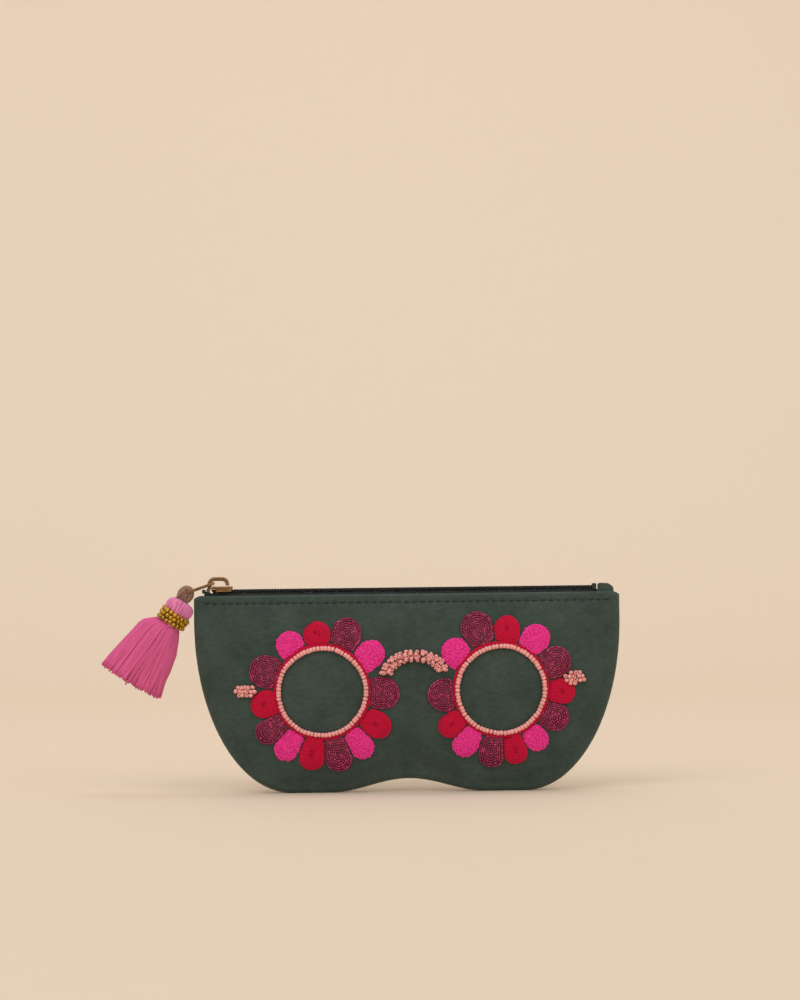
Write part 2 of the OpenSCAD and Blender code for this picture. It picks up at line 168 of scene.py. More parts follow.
# --------------------------------------------------------------------------- mesh making
class Parts:
    """Collects the vertices, faces and colour tones of one object."""

    def __init__(self):
        self.verts, self.faces, self.tones, self.count = [], [], [], 0

    def add(self, verts, faces, tone=0.5):
        verts = np.asarray(verts, float).reshape(-1, 3)
        self.verts.append(verts)
        self.faces.extend(np.asarray(f) + self.count for f in faces)
        self.tones.append(np.broadcast_to(np.asarray(tone, float), (len(verts),)))
        self.count += len(verts)

    def build(self, name, material, smooth=True):
        """faces is a list of arrays, each (n, corners) of vertex numbers."""
        verts = (np.concatenate(self.verts) + ORIGIN) * MM
        loops, starts, at = [], [], 0
        for f in self.faces:
            loops.append(f.ravel())
            starts.append(at + np.arange(len(f)) * f.shape[1])
            at += f.size
        mesh = bpy.data.meshes.new(name)
        mesh.vertices.add(len(verts))
        mesh.vertices.foreach_set("co", verts.astype(np.float32).ravel())
        loops, starts = np.concatenate(loops), np.concatenate(starts)
        mesh.loops.add(len(loops))
        mesh.loops.foreach_set("vertex_index", loops.astype(np.int32))
        mesh.polygons.add(len(starts))
        mesh.polygons.foreach_set("loop_start", starts.astype(np.int32))
        mesh.polygons.foreach_set("use_smooth", np.full(len(starts), smooth))
        mesh.update(calc_edges=True)
        mesh.validate()
        tone = mesh.attributes.new("tone", "FLOAT", "POINT")
        tone.data.foreach_set("value", np.concatenate(self.tones).astype(np.float32))
        mesh.materials.append(material)
        obj = bpy.data.objects.new(name, mesh)
        bpy.context.scene.collection.objects.link(obj)
        return obj


def outward(verts, faces):
    """Turns every face over when the closed surface is inside out."""
    volume = 0.0
    for f in faces:
        a = verts[f[:, 0]]
        for k in range(1, f.shape[1] - 1):
            volume += np.einsum("ij,ij->", a, np.cross(verts[f[:, k]], verts[f[:, k + 1]]))
    return faces if volume > 0 else [f[:, ::-1] for f in faces]


def ring_faces(rings, sides, closed):
    """Quads between rings of points, with caps on the ends of an open run."""
    i, j = np.meshgrid(np.arange(rings if closed else rings - 1), np.arange(sides), indexing="ij")
    i2, j2 = (i + 1) % rings, (j + 1) % sides
    quads = np.stack([i * sides + j, i * sides + j2, i2 * sides + j2, i2 * sides + j], -1)
    faces = [quads.reshape(-1, 4)]
    if not closed:
        faces += [np.arange(sides)[None, ::-1], (rings - 1) * sides + np.arange(sides)[None]]
    return faces


def tube(path, radius, sides=6, closed=False, flat=1.0, up=None, square=1.0):
    """A round or flattened tube along a path; flat squeezes it across its own normal."""
    path = np.asarray(path, float)
    n = len(path)
    if closed:
        along = np.roll(path, -1, 0) - np.roll(path, 1, 0)
    else:
        along = np.gradient(path, axis=0)
    along /= np.linalg.norm(along, axis=1)[:, None] + 1e-12
    if up is None:
        side = np.zeros_like(path)
        v = np.cross(along[0], [0.3, 0.9, 0.2])
        for k in range(n):
            v = v - along[k] * (v @ along[k])
            v /= np.linalg.norm(v) + 1e-12
            side[k] = v
    else:
        side = np.cross(along, np.broadcast_to(np.asarray(up, float), path.shape))
        side /= np.linalg.norm(side, axis=1)[:, None] + 1e-12
    other = np.cross(along, side)
    a = 2 * np.pi * np.arange(sides) / sides
    ca = np.sign(np.cos(a)) * np.abs(np.cos(a)) ** square
    sa = np.sign(np.sin(a)) * np.abs(np.sin(a)) ** square
    r = np.broadcast_to(np.asarray(radius, float), (n,))[:, None, None]
    verts = path[:, None] + r * (side[:, None] * ca[:, None] + flat * other[:, None] * sa[:, None])
    verts = verts.reshape(-1, 3)
    return verts, outward(verts, ring_faces(n, sides, closed))


def turned(profile, sides):
    """A ring turned round z from a closed profile of (radius, height) points."""
    a = 2 * np.pi * np.arange(sides) / sides
    p = np.asarray(profile, float)
    verts = np.stack([np.outer(np.cos(a), p[:, 0]), np.outer(np.sin(a), p[:, 0]),
                      np.outer(np.ones(sides), p[:, 1])], -1).reshape(-1, 3)
    faces = ring_faces(sides, len(p), True)
    return verts, outward(verts, faces)


def spindle(profile, sides):
    """A closed solid turned round z from an open profile, capped at both ends."""
    a = 2 * np.pi * np.arange(sides) / sides
    verts = np.concatenate([np.stack([r * np.cos(a), r * np.sin(a), np.full(sides, z)], -1)
                            for r, z in profile])
    return verts, outward(verts, ring_faces(len(profile), sides, False))


def stamp(parts, shape, places, axes, tones, scale=1.0):
    """Copies one shape to many places; axes holds each copy's three directions as rows."""
    verts, faces = shape
    places, axes = np.asarray(places, float), np.asarray(axes, float)
    scale = np.broadcast_to(np.asarray(scale, float), (len(places),))
    all_verts = np.einsum("vk,nkj->nvj", verts, axes) * scale[:, None, None] + places[:, None]
    shift = (np.arange(len(places)) * len(verts))[:, None, None]
    parts.add(all_verts, [(f[None] + shift).reshape(-1, f.shape[1]) for f in faces],
              np.repeat(tones, len(verts)))


def unit(v):
    return v / (np.linalg.norm(v, axis=-1, keepdims=True) + 1e-12)


def seed_shape(diameter, length_, hole=0.22, sides=12):
    """A rounded glass bead with its thread hole along z."""
    r, h, q = diameter / 2, length_ / 2, diameter * hole
    return turned([(q, -h * 0.7), (q, h * 0.7), (q * 1.25, h * 0.93), (r * 0.66, h), (r * 0.88, h * 0.8),
                   (r, h * 0.36), (r, -h * 0.36), (r * 0.88, -h * 0.8), (r * 0.66, -h),
                   (q * 1.25, -h * 0.93)], sides)


def cut_bead_shape(radius, length_):
    """A tiny faceted bead."""
    h = length_ / 2
    return spindle([(radius * 0.62, -h), (radius, -h * 0.7), (radius, h * 0.7), (radius * 0.62, h)], 7)


def knot_shape():
    """A squashed knot of thread, dimpled in its middle."""
    return spindle([(0.45, -0.35), (0.92, -0.18), (1.0, 0.12), (0.82, 0.5), (0.45, 0.68),
                    (0.16, 0.56)], 8)


# --------------------------------------------------------------------------- the panel's shape
def low(x):
    a = np.abs(x)
    cx, cz, nx = mm("corner_x"), mm("corner_z"), mm("notch_x")
    corner = cz * (1 - np.sqrt(np.clip(1 - (np.maximum(a - cx, 0) / (HALF - cx)) ** 2, 0, 1)))
    notch = mm("notch_h") / 2 * (1 + np.cos(np.pi * np.minimum(a / nx, 1)))
    return np.where(a > cx, corner, notch)


def high(x):
    return FOLD_Z - 1.5 * np.clip((np.abs(x) / HALF - 0.965) / 0.035, 0, None) ** 2


def across(x):
    return 1 - np.clip(np.abs(x) / HALF, 0, 1) ** 4


def climb(x, z):
    return np.clip((z - low(x)) / (high(x) - low(x)), 0, 1)


GRID_X = np.arange(-104.0, 104.5, 1.0)
GRID_Z = np.arange(-4.0, 102.5, 1.0)
FLOWERS = {"left": (-39.9, 47.9), "right": (43.6, 48.0)}


def read_grid(table, x, z):
    """Values of a table on GRID_X and GRID_Z at any points."""
    fx = np.clip(x - GRID_X[0], 0, len(GRID_X) - 1.001)
    fz = np.clip(z - GRID_Z[0], 0, len(GRID_Z) - 1.001)
    i, j = fx.astype(int), fz.astype(int)
    a, b = fx - i, fz - j
    return ((table[i, j] * (1 - a) + table[i + 1, j] * a) * (1 - b)
            + (table[i, j + 1] * (1 - a) + table[i + 1, j + 1] * a) * b)


def measure_seam():
    """Distance of each grid point inside the sewn edge, negative outside it."""
    xs = HALF * np.sin(np.linspace(-np.pi / 2, np.pi / 2, 700))
    rise = np.linspace(mm("corner_z"), FOLD_Z + 6, 30)
    edge = np.concatenate([np.stack([xs, low(xs)], -1)]
                          + [np.stack([np.full(30, s * HALF), rise], -1) for s in (-1, 1)])
    table = np.zeros((len(GRID_X), len(GRID_Z)))
    for i, x in enumerate(GRID_X):
        d = np.hypot(edge[:, 0] - x, edge[:, 1] - GRID_Z[:, None]).min(1)
        inside = (abs(x) < HALF) & (GRID_Z > low(np.array([x]))[0])
        table[i] = np.where(inside, d, -d)
    return table


FIELDS = {}


def seam_gap(x, z):
    if "seam" not in FIELDS:
        FIELDS["seam"] = measure_seam()
    return read_grid(FIELDS["seam"], x, z)


def smooth01(t):
    t = np.clip(t, 0, 1)
    return t * t * (3 - 2 * t)


def plain_depth(x, z):
    """How far the outer face stands from the seam's plane, before sewing and drape."""
    gap = np.clip(seam_gap(x, z), 0, None)
    v = climb(x, z)
    round_off = 2.6
    inward = 1 - np.clip(gap / round_off, 0, 1)
    edge = 0.12 + (mm("seam_half") - 0.12) * np.sqrt(np.clip(1 - inward ** 2, 0, 1))
    return edge + mm("bulge") * across(x) * (1 - (1 - v) ** 3) * (1 - sizes().mouth_draw * v ** 3)


def depth_at(x, z, side):
    """The finished outer face: swell, drape, the pull of the stitching and of the embroidery."""
    x, z = np.asarray(x, float), np.asarray(z, float)
    gap = seam_gap(x, z)
    inner = smooth01(gap / 9)
    d = plain_depth(x, z)
    if side in FIELDS:
        d = d + read_grid(FIELDS[side], x, z) * inner
    line = high(x) - mm("stitch_drop")
    pitch = mm("stitch_pitch")
    pull = np.exp(-((z - line) / 0.75) ** 2) * smooth01((HALF - 2 - np.abs(x)) / 3)
    d = d - pull * (0.34 + 0.12 * np.cos(2 * np.pi * (x / pitch + 0.5)))
    d = d + 0.16 * np.exp(-((z - line + 2.4) / 1.2) ** 2) * np.sin(2 * np.pi * x / 21 + 1.3) * inner
    if side == "front":
        for cx, cz in FLOWERS.values():
            r = np.hypot(x - cx, z - cz)
            d = d - 0.32 * np.exp(-((r - 20.9) / 1.9) ** 2) - 0.22 * np.exp(-((r - 37.5) / 2.2) ** 2)
            d = d + 0.35 * smooth01((19 - r) / 16)
    # puckers that run in from the sewn edge
    pucker = np.exp(-((gap - 4.0) / 3.2) ** 2)
    wander = np.sin(x * 0.61 + 1.7) + 0.7 * np.sin(x * 1.13 + z * 0.19) + 0.6 * np.sin(z * 0.83 + 2.0)
    return d + 0.10 * pucker * wander


def drape_cloth():
    """Settles a coarse panel by cloth simulation and keeps how far it moved, in millimetres.

    The mean is taken off and the rest is capped, which nearly half of it reaches. The back
    gets the same field turned left to right.
    """
    nx_, nz_ = 67, 29
    t = np.linspace(-1, 1, nx_)
    x = (HALF - 1.0) * np.sin(np.pi / 2 * t * 0.985) / np.sin(np.pi / 2 * 0.985)
    lo, hi = low(x) + 0.6, high(x) - 1.2
    z = lo + (hi - lo) * np.linspace(0, 1, nz_)[:, None]
    xx = np.broadcast_to(x, z.shape)
    d = plain_depth(xx, z)
    verts = np.stack([xx, -d, z], -1).reshape(-1, 3)
    i, j = np.meshgrid(np.arange(nz_ - 1), np.arange(nx_ - 1), indexing="ij")
    quads = np.stack([i * nx_ + j, i * nx_ + j + 1, (i + 1) * nx_ + j + 1, (i + 1) * nx_ + j], -1)
    # a cloth at ten times life size behaves as a heavier, calmer fabric
    scale = 0.01
    mesh = bpy.data.meshes.new("drape")
    mesh.from_pydata((verts * scale).tolist(), [], quads.reshape(-1, 4).tolist())
    mesh.update()
    obj = bpy.data.objects.new("drape", mesh)
    bpy.context.scene.collection.objects.link(obj)
    pins = obj.vertex_groups.new(name="sewn")
    grid = np.arange(nx_ * nz_).reshape(nz_, nx_)
    sewn = np.unique(np.concatenate([grid[0], grid[-1], grid[:, 0], grid[:, -1]]))
    pins.add(sewn.tolist(), 1.0, "REPLACE")
    for cx, cz in FLOWERS.values():
        r = np.hypot(verts[:, 0] - cx, verts[:, 2] - cz)
        pins.add(np.flatnonzero((r > 20) & (r < 34)).tolist(), 0.25, "REPLACE")
    cloth = obj.modifiers.new("cloth", "CLOTH")
    s = cloth.settings
    s.quality = 6
    s.mass = 0.3
    s.vertex_group_mass = "sewn"
    s.shrink_min = -0.022
    s.tension_stiffness = s.compression_stiffness = 18
    s.bending_stiffness = 2.2
    s.use_pressure = True
    s.uniform_pressure_force = 1.6
    s.effector_weights.gravity = 0.25
    cloth.collision_settings.use_collision = False
    scene = bpy.context.scene
    frames = 24
    cloth.point_cache.frame_start, cloth.point_cache.frame_end = 1, frames
    for f in range(1, frames + 1):
        scene.frame_set(f)
    shown = obj.evaluated_get(bpy.context.evaluated_depsgraph_get())
    moved = np.zeros(len(verts) * 3, np.float32)
    shown.data.vertices.foreach_get("co", moved)
    moved = moved.reshape(-1, 3) / scale
    scene.frame_set(1)
    bpy.data.objects.remove(obj)
    bpy.data.meshes.remove(mesh)
    push = np.nan_to_num(-(moved[:, 1] - verts[:, 1])).reshape(nz_, nx_)
    push -= push.mean()
    limit = 0.9
    push = limit * np.tanh(push / limit)
    table = np.zeros((len(GRID_X), len(GRID_Z)))
    for k, gx in enumerate(GRID_X):
        c = np.interp(gx, x, np.arange(nx_))
        a = int(min(c, nx_ - 2))
        column = push[:, a] * (1 - (c - a)) + push[:, a + 1] * (c - a)
        lo_g, hi_g = float(np.interp(gx, x, lo)), float(np.interp(gx, x, hi))
        table[k] = np.interp(GRID_Z, np.linspace(lo_g, hi_g, nz_), column)
    FIELDS["front"] = table
    FIELDS["back"] = table[::-1]


def lay(x, z, lift, side="front"):
    """Points that stand lift above the outer face."""
    x, z = np.broadcast_arrays(np.asarray(x, float), np.asarray(z, float))
    normal = face_normal(x, z, side)
    s = -1 if side == "front" else 1
    return np.stack([x, s * depth_at(x, z, side), z], -1) + normal * np.asarray(lift)[..., None]


def face_normal(x, z, side="front"):
    e = 0.4
    dx = (depth_at(x + e, z, side) - depth_at(x - e, z, side)) / (2 * e)
    dz = (depth_at(x, z + e, side) - depth_at(x, z - e, side)) / (2 * e)
    s = -1 if side == "front" else 1
    return unit(np.stack([-dx, np.full_like(dx, s), -dz], -1))


def mouth_share(x, z):
    """0 where the front stays sewn to the back, 1 where it opens the whole way."""
    side_ease = np.cos(np.pi / 2 * np.clip(np.abs(x) / 86, 0, 1)) ** 2
    return side_ease * smooth01((z - low(x)) / 32)


def bow(obj):
    """Bakes a front piece's placement into its mesh and works out each point's share of the mouth's opening, which
    nothing uses.
    """
    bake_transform(obj)
    co = np.zeros(len(obj.data.vertices) * 3, np.float32)
    obj.data.vertices.foreach_get("co", co)
    co = co.reshape(-1, 3) / MM - ORIGIN
    share = mouth_share(co[:, 0], co[:, 2]).astype(np.float32)


def place(obj, side, slot, *nodes):
    """Hangs a back piece on the back half, bakes a front piece in place, and hides the solids it stands for."""
    bow(obj) if side == "front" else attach(obj, BACK)
    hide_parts(*nodes)
    return obj


# --------------------------------------------------------------------------- materials
class Nodes:
    """A short way to place and join nodes in one tree."""

    def __init__(self, tree):
        self.tree = tree

    def add(self, kind, settings=None, **inputs):
        node = self.tree.nodes.new("ShaderNode" + kind)
        for key, value in (settings or {}).items():
            setattr(node, key, value)
        for key, value in inputs.items():
            name = int(key[1:]) if key[1:].isdigit() else key.replace("_", " ")
            self.put(node.inputs[name], value)
        return node

    def put(self, socket, value):
        if isinstance(value, bpy.types.NodeSocket):
            self.tree.links.new(value, socket)
        elif hasattr(socket.default_value, "__len__") and len(socket.default_value) == 4 and len(value) == 3:
            socket.default_value = (*value, 1.0)
        else:
            socket.default_value = value

    def math(self, operation, a, b=0.0, clamp=False):
        return self.add("Math", {"operation": operation, "use_clamp": clamp}, _0=a, _1=b).outputs[0]

    def mix(self, factor, a, b, blend="MIX"):
        node = self.add("Mix", {"data_type": "RGBA", "blend_type": blend}, _0=factor, _6=a, _7=b)
        return node.outputs[2]

    def noise(self, vector, scale, detail=2.0, rough=0.5):
        return self.add("TexNoise", None, Vector=vector, Scale=scale, Detail=detail,
                        Roughness=rough).outputs[0]

    def span(self, value, a, b, c, d):
        return self.add("MapRange", None, Value=value, From_Min=a, From_Max=b, To_Min=c,
                        To_Max=d).outputs[0]


def effect(name, inputs, outputs):
    """A shader node group with named sockets."""
    tree = bpy.data.node_groups.new(name, "ShaderNodeTree")
    kinds = {"c": "NodeSocketColor", "f": "NodeSocketFloat", "v": "NodeSocketVector"}
    for label, kind, value in inputs:
        socket = tree.interface.new_socket(label, in_out="INPUT", socket_type=kinds[kind])
        socket.default_value = value
    for label, kind in outputs:
        tree.interface.new_socket(label, in_out="OUTPUT", socket_type=kinds[kind])
    enter = tree.nodes.new("NodeGroupInput")
    leave = tree.nodes.new("NodeGroupOutput")
    return tree, Nodes(tree), enter.outputs, leave.inputs


def make_effects():
    """Nap, fibre, weave, bead tone and edge wear, shared by the materials."""
    made = {}
    tree, n, i, o = effect("Nap", [("Colour", "c", (0, 0, 0, 1)), ("Patch", "f", 90.0), ("Mottle", "f", 0.3),
                                   ("Wear and highlight", "f", 0.0)],
                           [("Colour", "c"), ("Roughness", "f"), ("Height", "f")])
    where = n.add("TexCoord").outputs["Object"]
    patch = n.noise(where, i["Patch"], 3.0, 0.6)
    brush = n.noise(n.add("Mapping", None, Vector=where, Scale=(0.45, 1.0, 1.0)).outputs[0], 700.0, 3.0, 0.6)
    hair = n.noise(where, 2600.0, 2.0, 0.7)
    shade = n.math("ADD", n.math("MULTIPLY", patch, 0.55), n.math("MULTIPLY", brush, 0.45))
    dark = n.mix(1.0, i["Colour"], (0.72, 0.74, 0.74), "MULTIPLY")
    light = n.mix(0.16, i["Colour"], (0.26, 0.33, 0.29))
    colour = n.mix(n.span(shade, 0.36, 0.64, 0.0, 1.0), dark, light)
    colour = n.mix(n.math("SUBTRACT", 1.0, i["Mottle"]), colour, i["Colour"])
    colour = n.mix(n.span(hair, 0.3, 0.7, 0.0, 0.30), colour, light)
    # This mix paints the fibres paler: along the panels' seams as rubbed suede, and on the crest of the fold as a
    # painted highlight.
    colour = n.mix(n.math("MULTIPLY", i["Wear and highlight"], n.span(hair, 0.35, 0.6, 0.25, 0.75)), colour,
                   n.mix(0.22, i["Colour"], (0.34, 0.38, 0.34)))
    n.put(o["Colour"], colour)
    n.put(o["Roughness"], n.span(shade, 0.3, 0.7, 0.98, 0.86))
    n.put(o["Height"], n.math("ADD", n.math("MULTIPLY", hair, 0.6), n.math("MULTIPLY", brush, 0.5)))
    made["nap"] = tree

    tree, n, i, o = effect("Fibre", [("Colour", "c", (0, 0, 0, 1)), ("Tone", "f", 0.5), ("Spread", "f", 0.35),
                                     ("Fineness", "f", 2200.0)],
                           [("Colour", "c"), ("Roughness", "f"), ("Height", "f")])
    where = n.add("TexCoord").outputs["Object"]
    strand = n.noise(where, i["Fineness"], 3.0, 0.65)
    broad = n.noise(where, 160.0, 2.0)
    lit = n.math("ADD", n.math("MULTIPLY", i["Tone"], 0.6),
                 n.math("ADD", n.math("MULTIPLY", strand, 0.25), n.math("MULTIPLY", broad, 0.15)))
    dark = n.mix(1.0, i["Colour"], (0.55, 0.50, 0.52), "MULTIPLY")
    light = n.mix(0.05, i["Colour"], (1.0, 0.55, 0.70))
    swing = n.mix(lit, dark, light)
    n.put(o["Colour"], n.mix(i["Spread"], i["Colour"], swing))
    n.put(o["Roughness"], n.span(strand, 0.3, 0.7, 0.72, 0.95))
    n.put(o["Height"], strand)
    made["fibre"] = tree

    tree, n, i, o = effect("Weave", [("Colour", "c", (0, 0, 0, 1)), ("Threads", "f", 1400.0), ("Slant", "f", 0.0)],
                           [("Colour", "c"), ("Roughness", "f"), ("Height", "f")])
    where = n.add("TexCoord").outputs["Object"]
    part = n.add("SeparateXYZ", None, Vector=where).outputs
    run = n.math("ADD", part[0], n.math("MULTIPLY", part[2], i["Slant"]))
    warp = n.math("SINE", n.math("MULTIPLY", run, n.math("MULTIPLY", i["Threads"], 6.2832)))
    weft = n.math("SINE", n.math("MULTIPLY", n.math("ADD", part[2], part[1]),
                                 n.math("MULTIPLY", i["Threads"], 6.2832)))
    cloth = n.math("MULTIPLY", warp, weft)
    speck = n.noise(where, 900.0, 2.0)
    dark = n.mix(1.0, i["Colour"], (0.5, 0.5, 0.5), "MULTIPLY")
    colour = n.mix(n.span(cloth, -1.0, 1.0, 0.25, 1.0), dark, i["Colour"])
    n.put(o["Colour"], n.mix(n.span(speck, 0.4, 0.7, 0.0, 0.35), colour,
                             n.mix(0.15, i["Colour"], (0.5, 0.5, 0.5))))
    n.put(o["Roughness"], n.span(speck, 0.3, 0.7, 0.78, 0.92))
    n.put(o["Height"], cloth)
    made["weave"] = tree

    tree, n, i, o = effect("Bead tone", [("Deep", "c", (0, 0, 0, 1)), ("Bright", "c", (1, 1, 1, 1)),
                                         ("Tone", "f", 0.5), ("Sharpness", "f", 2.0), ("Gloss", "f", 0.2)],
                           [("Colour", "c"), ("Roughness", "f"), ("Height", "f")])
    where = n.add("TexCoord").outputs["Object"]
    streak = n.noise(where, 700.0, 2.0)
    pick = n.math("POWER", i["Tone"], i["Sharpness"])
    # A high tone takes a bead to the bright colour: on the magenta beadwork this paints glints, on the other beads
    # it is random tone.
    glint_and_tone = n.math("MULTIPLY", n.span(streak, 0.3, 0.7, 0.75, 1.0), pick)
    n.put(o["Colour"], n.mix(glint_and_tone, i["Deep"], i["Bright"]))
    n.put(o["Roughness"], n.math("ADD", i["Gloss"], n.math("MULTIPLY", streak, 0.12)))
    n.put(o["Height"], streak)
    made["bead"] = tree

    tree, n, i, o = effect("Edge wear", [("Reach", "f", 1.0)], [("Mask", "f"), ("Grime", "f")])
    where = n.add("TexCoord").outputs["Object"]
    point = n.add("NewGeometry").outputs["Pointiness"]
    rub = n.noise(where, 900.0, 4.0, 0.65)
    edge = n.span(point, 0.5, 0.56, 0.0, 1.0)
    wear_and_highlight = n.math("ADD", edge, n.span(rub, 0.45, 0.75, 0.0, 0.55))
    n.put(o["Mask"], n.math("MULTIPLY", wear_and_highlight, i["Reach"], True))
    n.put(o["Grime"], n.span(point, 0.5, 0.44, 0.0, 1.0))
    made["wear"] = tree
    return made


def material(name, effect_tree, values, bump=0.1, bump_step=0.0002, shader=None, tone_into=None):
    """A material whose colour, roughness and bump come from one shared effect."""
    mat = bpy.data.materials.new(name)
    mat.use_nodes = True
    n = Nodes(mat.node_tree)
    principled = mat.node_tree.nodes["Principled BSDF"]
    group = n.add("Group")
    group.node_tree = effect_tree
    for key, value in values.items():
        n.put(group.inputs[key], value)
    if tone_into:
        tone = n.add("Attribute", {"attribute_name": "tone", "attribute_type": "GEOMETRY"})
        n.put(group.inputs[tone_into], tone.outputs["Fac"])
    n.put(principled.inputs["Base Color"], group.outputs["Colour"])
    n.put(principled.inputs["Roughness"], group.outputs["Roughness"])
    lift = n.add("Bump", None, Strength=bump, Distance=bump_step, Height=group.outputs["Height"])
    n.put(principled.inputs["Normal"], lift.outputs[0])
    for key, value in (shader or {}).items():
        n.put(principled.inputs[key], value)
    return mat


def brass_material(effects):
    mat = bpy.data.materials.new("antique_brass")
    mat.use_nodes = True
    n = Nodes(mat.node_tree)
    principled = mat.node_tree.nodes["Principled BSDF"]
    wear = n.add("Group")
    wear.node_tree = effects["wear"]
    wear.inputs["Reach"].default_value = 0.85
    where = n.add("TexCoord").outputs["Object"]
    cloud = n.noise(where, 520.0, 4.0, 0.6)
    c = colours()
    colour = n.mix(wear.outputs["Mask"], c.patina[:], c.brass[:])
    colour = n.mix(n.math("MULTIPLY", wear.outputs["Grime"], 0.8), colour, (0.02, 0.012, 0.007))
    n.put(principled.inputs["Base Color"], colour)
    n.put(principled.inputs["Roughness"], n.span(cloud, 0.3, 0.7, 0.30, 0.52))
    principled.inputs["Metallic"].default_value = 1.0
    lift = n.add("Bump", None, Strength=0.12, Distance=0.0001, Height=cloud)
    n.put(principled.inputs["Normal"], lift.outputs[0])
    return mat


MATERIALS = {}


def make_materials():
    e, c = make_effects(), colours()
    m = MATERIALS
    soft = {"Sheen Weight": 0.10, "Sheen Roughness": 0.45, "Specular IOR Level": 0.18}
    m["suede"] = material("faux_suede", e["nap"], {"Colour": c.suede[:], "Mottle": 0.5, "Patch": 60.0},
                          0.35, 0.00018, soft, "Wear and highlight")
    m["lining"] = material("lining", e["weave"], {"Colour": c.lining[:], "Threads": 1500.0}, 0.3, 0.0001,
                           {"Specular IOR Level": 0.2})
    m["tape"] = material("zip_tape", e["weave"], {"Colour": c.tape[:], "Threads": 1250.0, "Slant": 0.8},
                         0.5, 0.00015, {"Specular IOR Level": 0.25})
    m["coil"] = material("zip_coil", e["fibre"], {"Colour": c.coil[:], "Spread": 0.3}, 0.05, 0.0001,
                         {"Coat Weight": 0.35, "Coat Roughness": 0.3, "Specular IOR Level": 0.5}, "Tone")
    m["stitch"] = material("stitch_thread", e["fibre"], {"Colour": c.stitch[:], "Spread": 0.5}, 0.3, 0.0001,
                           {"Sheen Weight": 0.1, "Specular IOR Level": 0.3}, "Tone")
    m["brass"] = brass_material(e)
    yarn = {"Sheen Weight": 0.08, "Sheen Roughness": 0.5, "Specular IOR Level": 0.16}
    m["pink"] = material("knot_stitch_pink", e["fibre"], {"Colour": c.pink[:], "Spread": 0.5}, 0.5, 0.0001,
                         yarn, "Tone")
    m["crimson"] = material("chain_stitch_crimson", e["fibre"], {"Colour": c.crimson[:], "Spread": 0.30},
                            0.5, 0.0001, {**yarn, "Sheen Weight": 0.03}, "Tone")
    # The few beads mixed towards the bright colour are painted glints.
    m["magenta"] = material("beadwork_magenta", e["bead"], {"Deep": c.magenta[:], "Bright": c.painted_glint[:],
                            "Sharpness": 3.4, "Gloss": 0.10}, 0.03, 0.00005,
                            {"Metallic": 0.1, "Coat Weight": 0.4, "Coat Roughness": 0.06}, "Tone")
    m["blush"] = material("blush_beads", e["bead"], {"Deep": [v * 0.86 for v in c.blush], "Bright": c.blush[:],
                          "Sharpness": 1.0, "Gloss": 0.20}, 0.03, 0.00005,
                          {"Coat Weight": 0.3, "Coat Roughness": 0.15, "Subsurface Weight": 0.08,
                           "Subsurface Scale": 0.001}, "Tone")
    m["gold"] = material("gold_beads", e["bead"], {"Deep": [v * 0.6 for v in c.gold], "Bright": c.gold[:],
                         "Sharpness": 0.8, "Gloss": 0.16}, 0.03, 0.00005,
                         {"Metallic": 0.75, "Coat Weight": 0.4, "Coat Roughness": 0.1}, "Tone")
    m["tassel"] = material("tassel_thread", e["fibre"], {"Colour": c.tassel[:], "Spread": 0.55}, 0.6, 0.00012,
                           yarn, "Tone")
    m["head"] = material("head_thread", e["fibre"], {"Colour": c.head[:], "Spread": 0.5}, 0.6, 0.00012,
                         yarn, "Tone")
    m["taupe"] = material("loop_thread", e["fibre"], {"Colour": c.taupe[:], "Spread": 0.55}, 0.6, 0.00012,
                          yarn, "Tone")
    m["floor"] = material("studio_floor", e["fibre"], {"Colour": c.floor[:], "Spread": 0.03, "Fineness": 60.0},
                          0.0, 0.0001, {"Specular IOR Level": 0.25})


# --------------------------------------------------------------------------- the pouch's two halves
def make_panel(side):
    """One padded half: the outer face, the rolled fold at the mouth and the turned-in inside."""
    nu, n_out, n_roll, n_in = 220, 90, 11, 46
    x = HALF * np.sin(np.linspace(-np.pi / 2, np.pi / 2, nu + 1))
    lo, hi = low(x), high(x)
    roll = np.full_like(x, 1.5)
    cut = hi - roll
    ease = (1 - np.cos(np.pi * np.linspace(0, 1, n_out))) / 2
    z_out = lo + (cut - lo) * ease[:, None]
    xo = np.broadcast_to(x, z_out.shape)
    d_out = depth_at(xo, z_out, side)
    top = d_out[-1]
    hem = np.minimum(1.0 + 1.6 * across(x), top * 0.7)
    phi = np.linspace(0, np.pi, n_roll)[1:-1, None]
    d_roll = top - hem / 2 + hem / 2 * np.cos(phi)
    z_roll = cut + roll * np.sin(phi)
    fall = (1 - np.cos(np.pi * np.linspace(0, 1, n_in))) / 2
    z_in = cut - (cut - lo) * fall[:, None]
    xi = np.broadcast_to(x, z_in.shape)
    v = climb(xi, z_in)
    pad = 1.15 + 0.35 + 1.65 * across(xi) * (1 - (1 - v) ** 3)
    below = smooth01((cut - z_in) / mm("hem"))
    thick = hem * (1 - below) + pad * below
    face = depth_at(xi, z_in, side)
    d_in = np.maximum(face - thick, 0.3 * face)
    z = np.concatenate([z_out, z_roll, z_in])
    d = np.concatenate([d_out, d_roll, d_in])
    xx = np.broadcast_to(x, z.shape)
    s = -1 if side == "front" else 1
    verts = np.stack([xx, s * d, z], -1).transpose(1, 0, 2).reshape(-1, 3)
    faces = outward(verts, ring_faces(nu + 1, len(z), False))
    # Paler within a millimetre of the seams as rubbed suede, and paler on the crest of the fold at the mouth as a
    # painted highlight.
    wear_and_highlight = np.exp(-np.clip(seam_gap(xx, z), 0, None) / 1.1) + np.exp(-(high(xx) - z) / 0.7) * 0.8
    parts = Parts()
    parts.add(verts, faces, np.clip(wear_and_highlight, 0, 1).T.ravel() * 0.7)
    panel = parts.build(f"{side}_panel_padded", MATERIALS["suede"])
    return place(panel, side, "faux_suede", f"{side}_panel", f"{side}_padding")


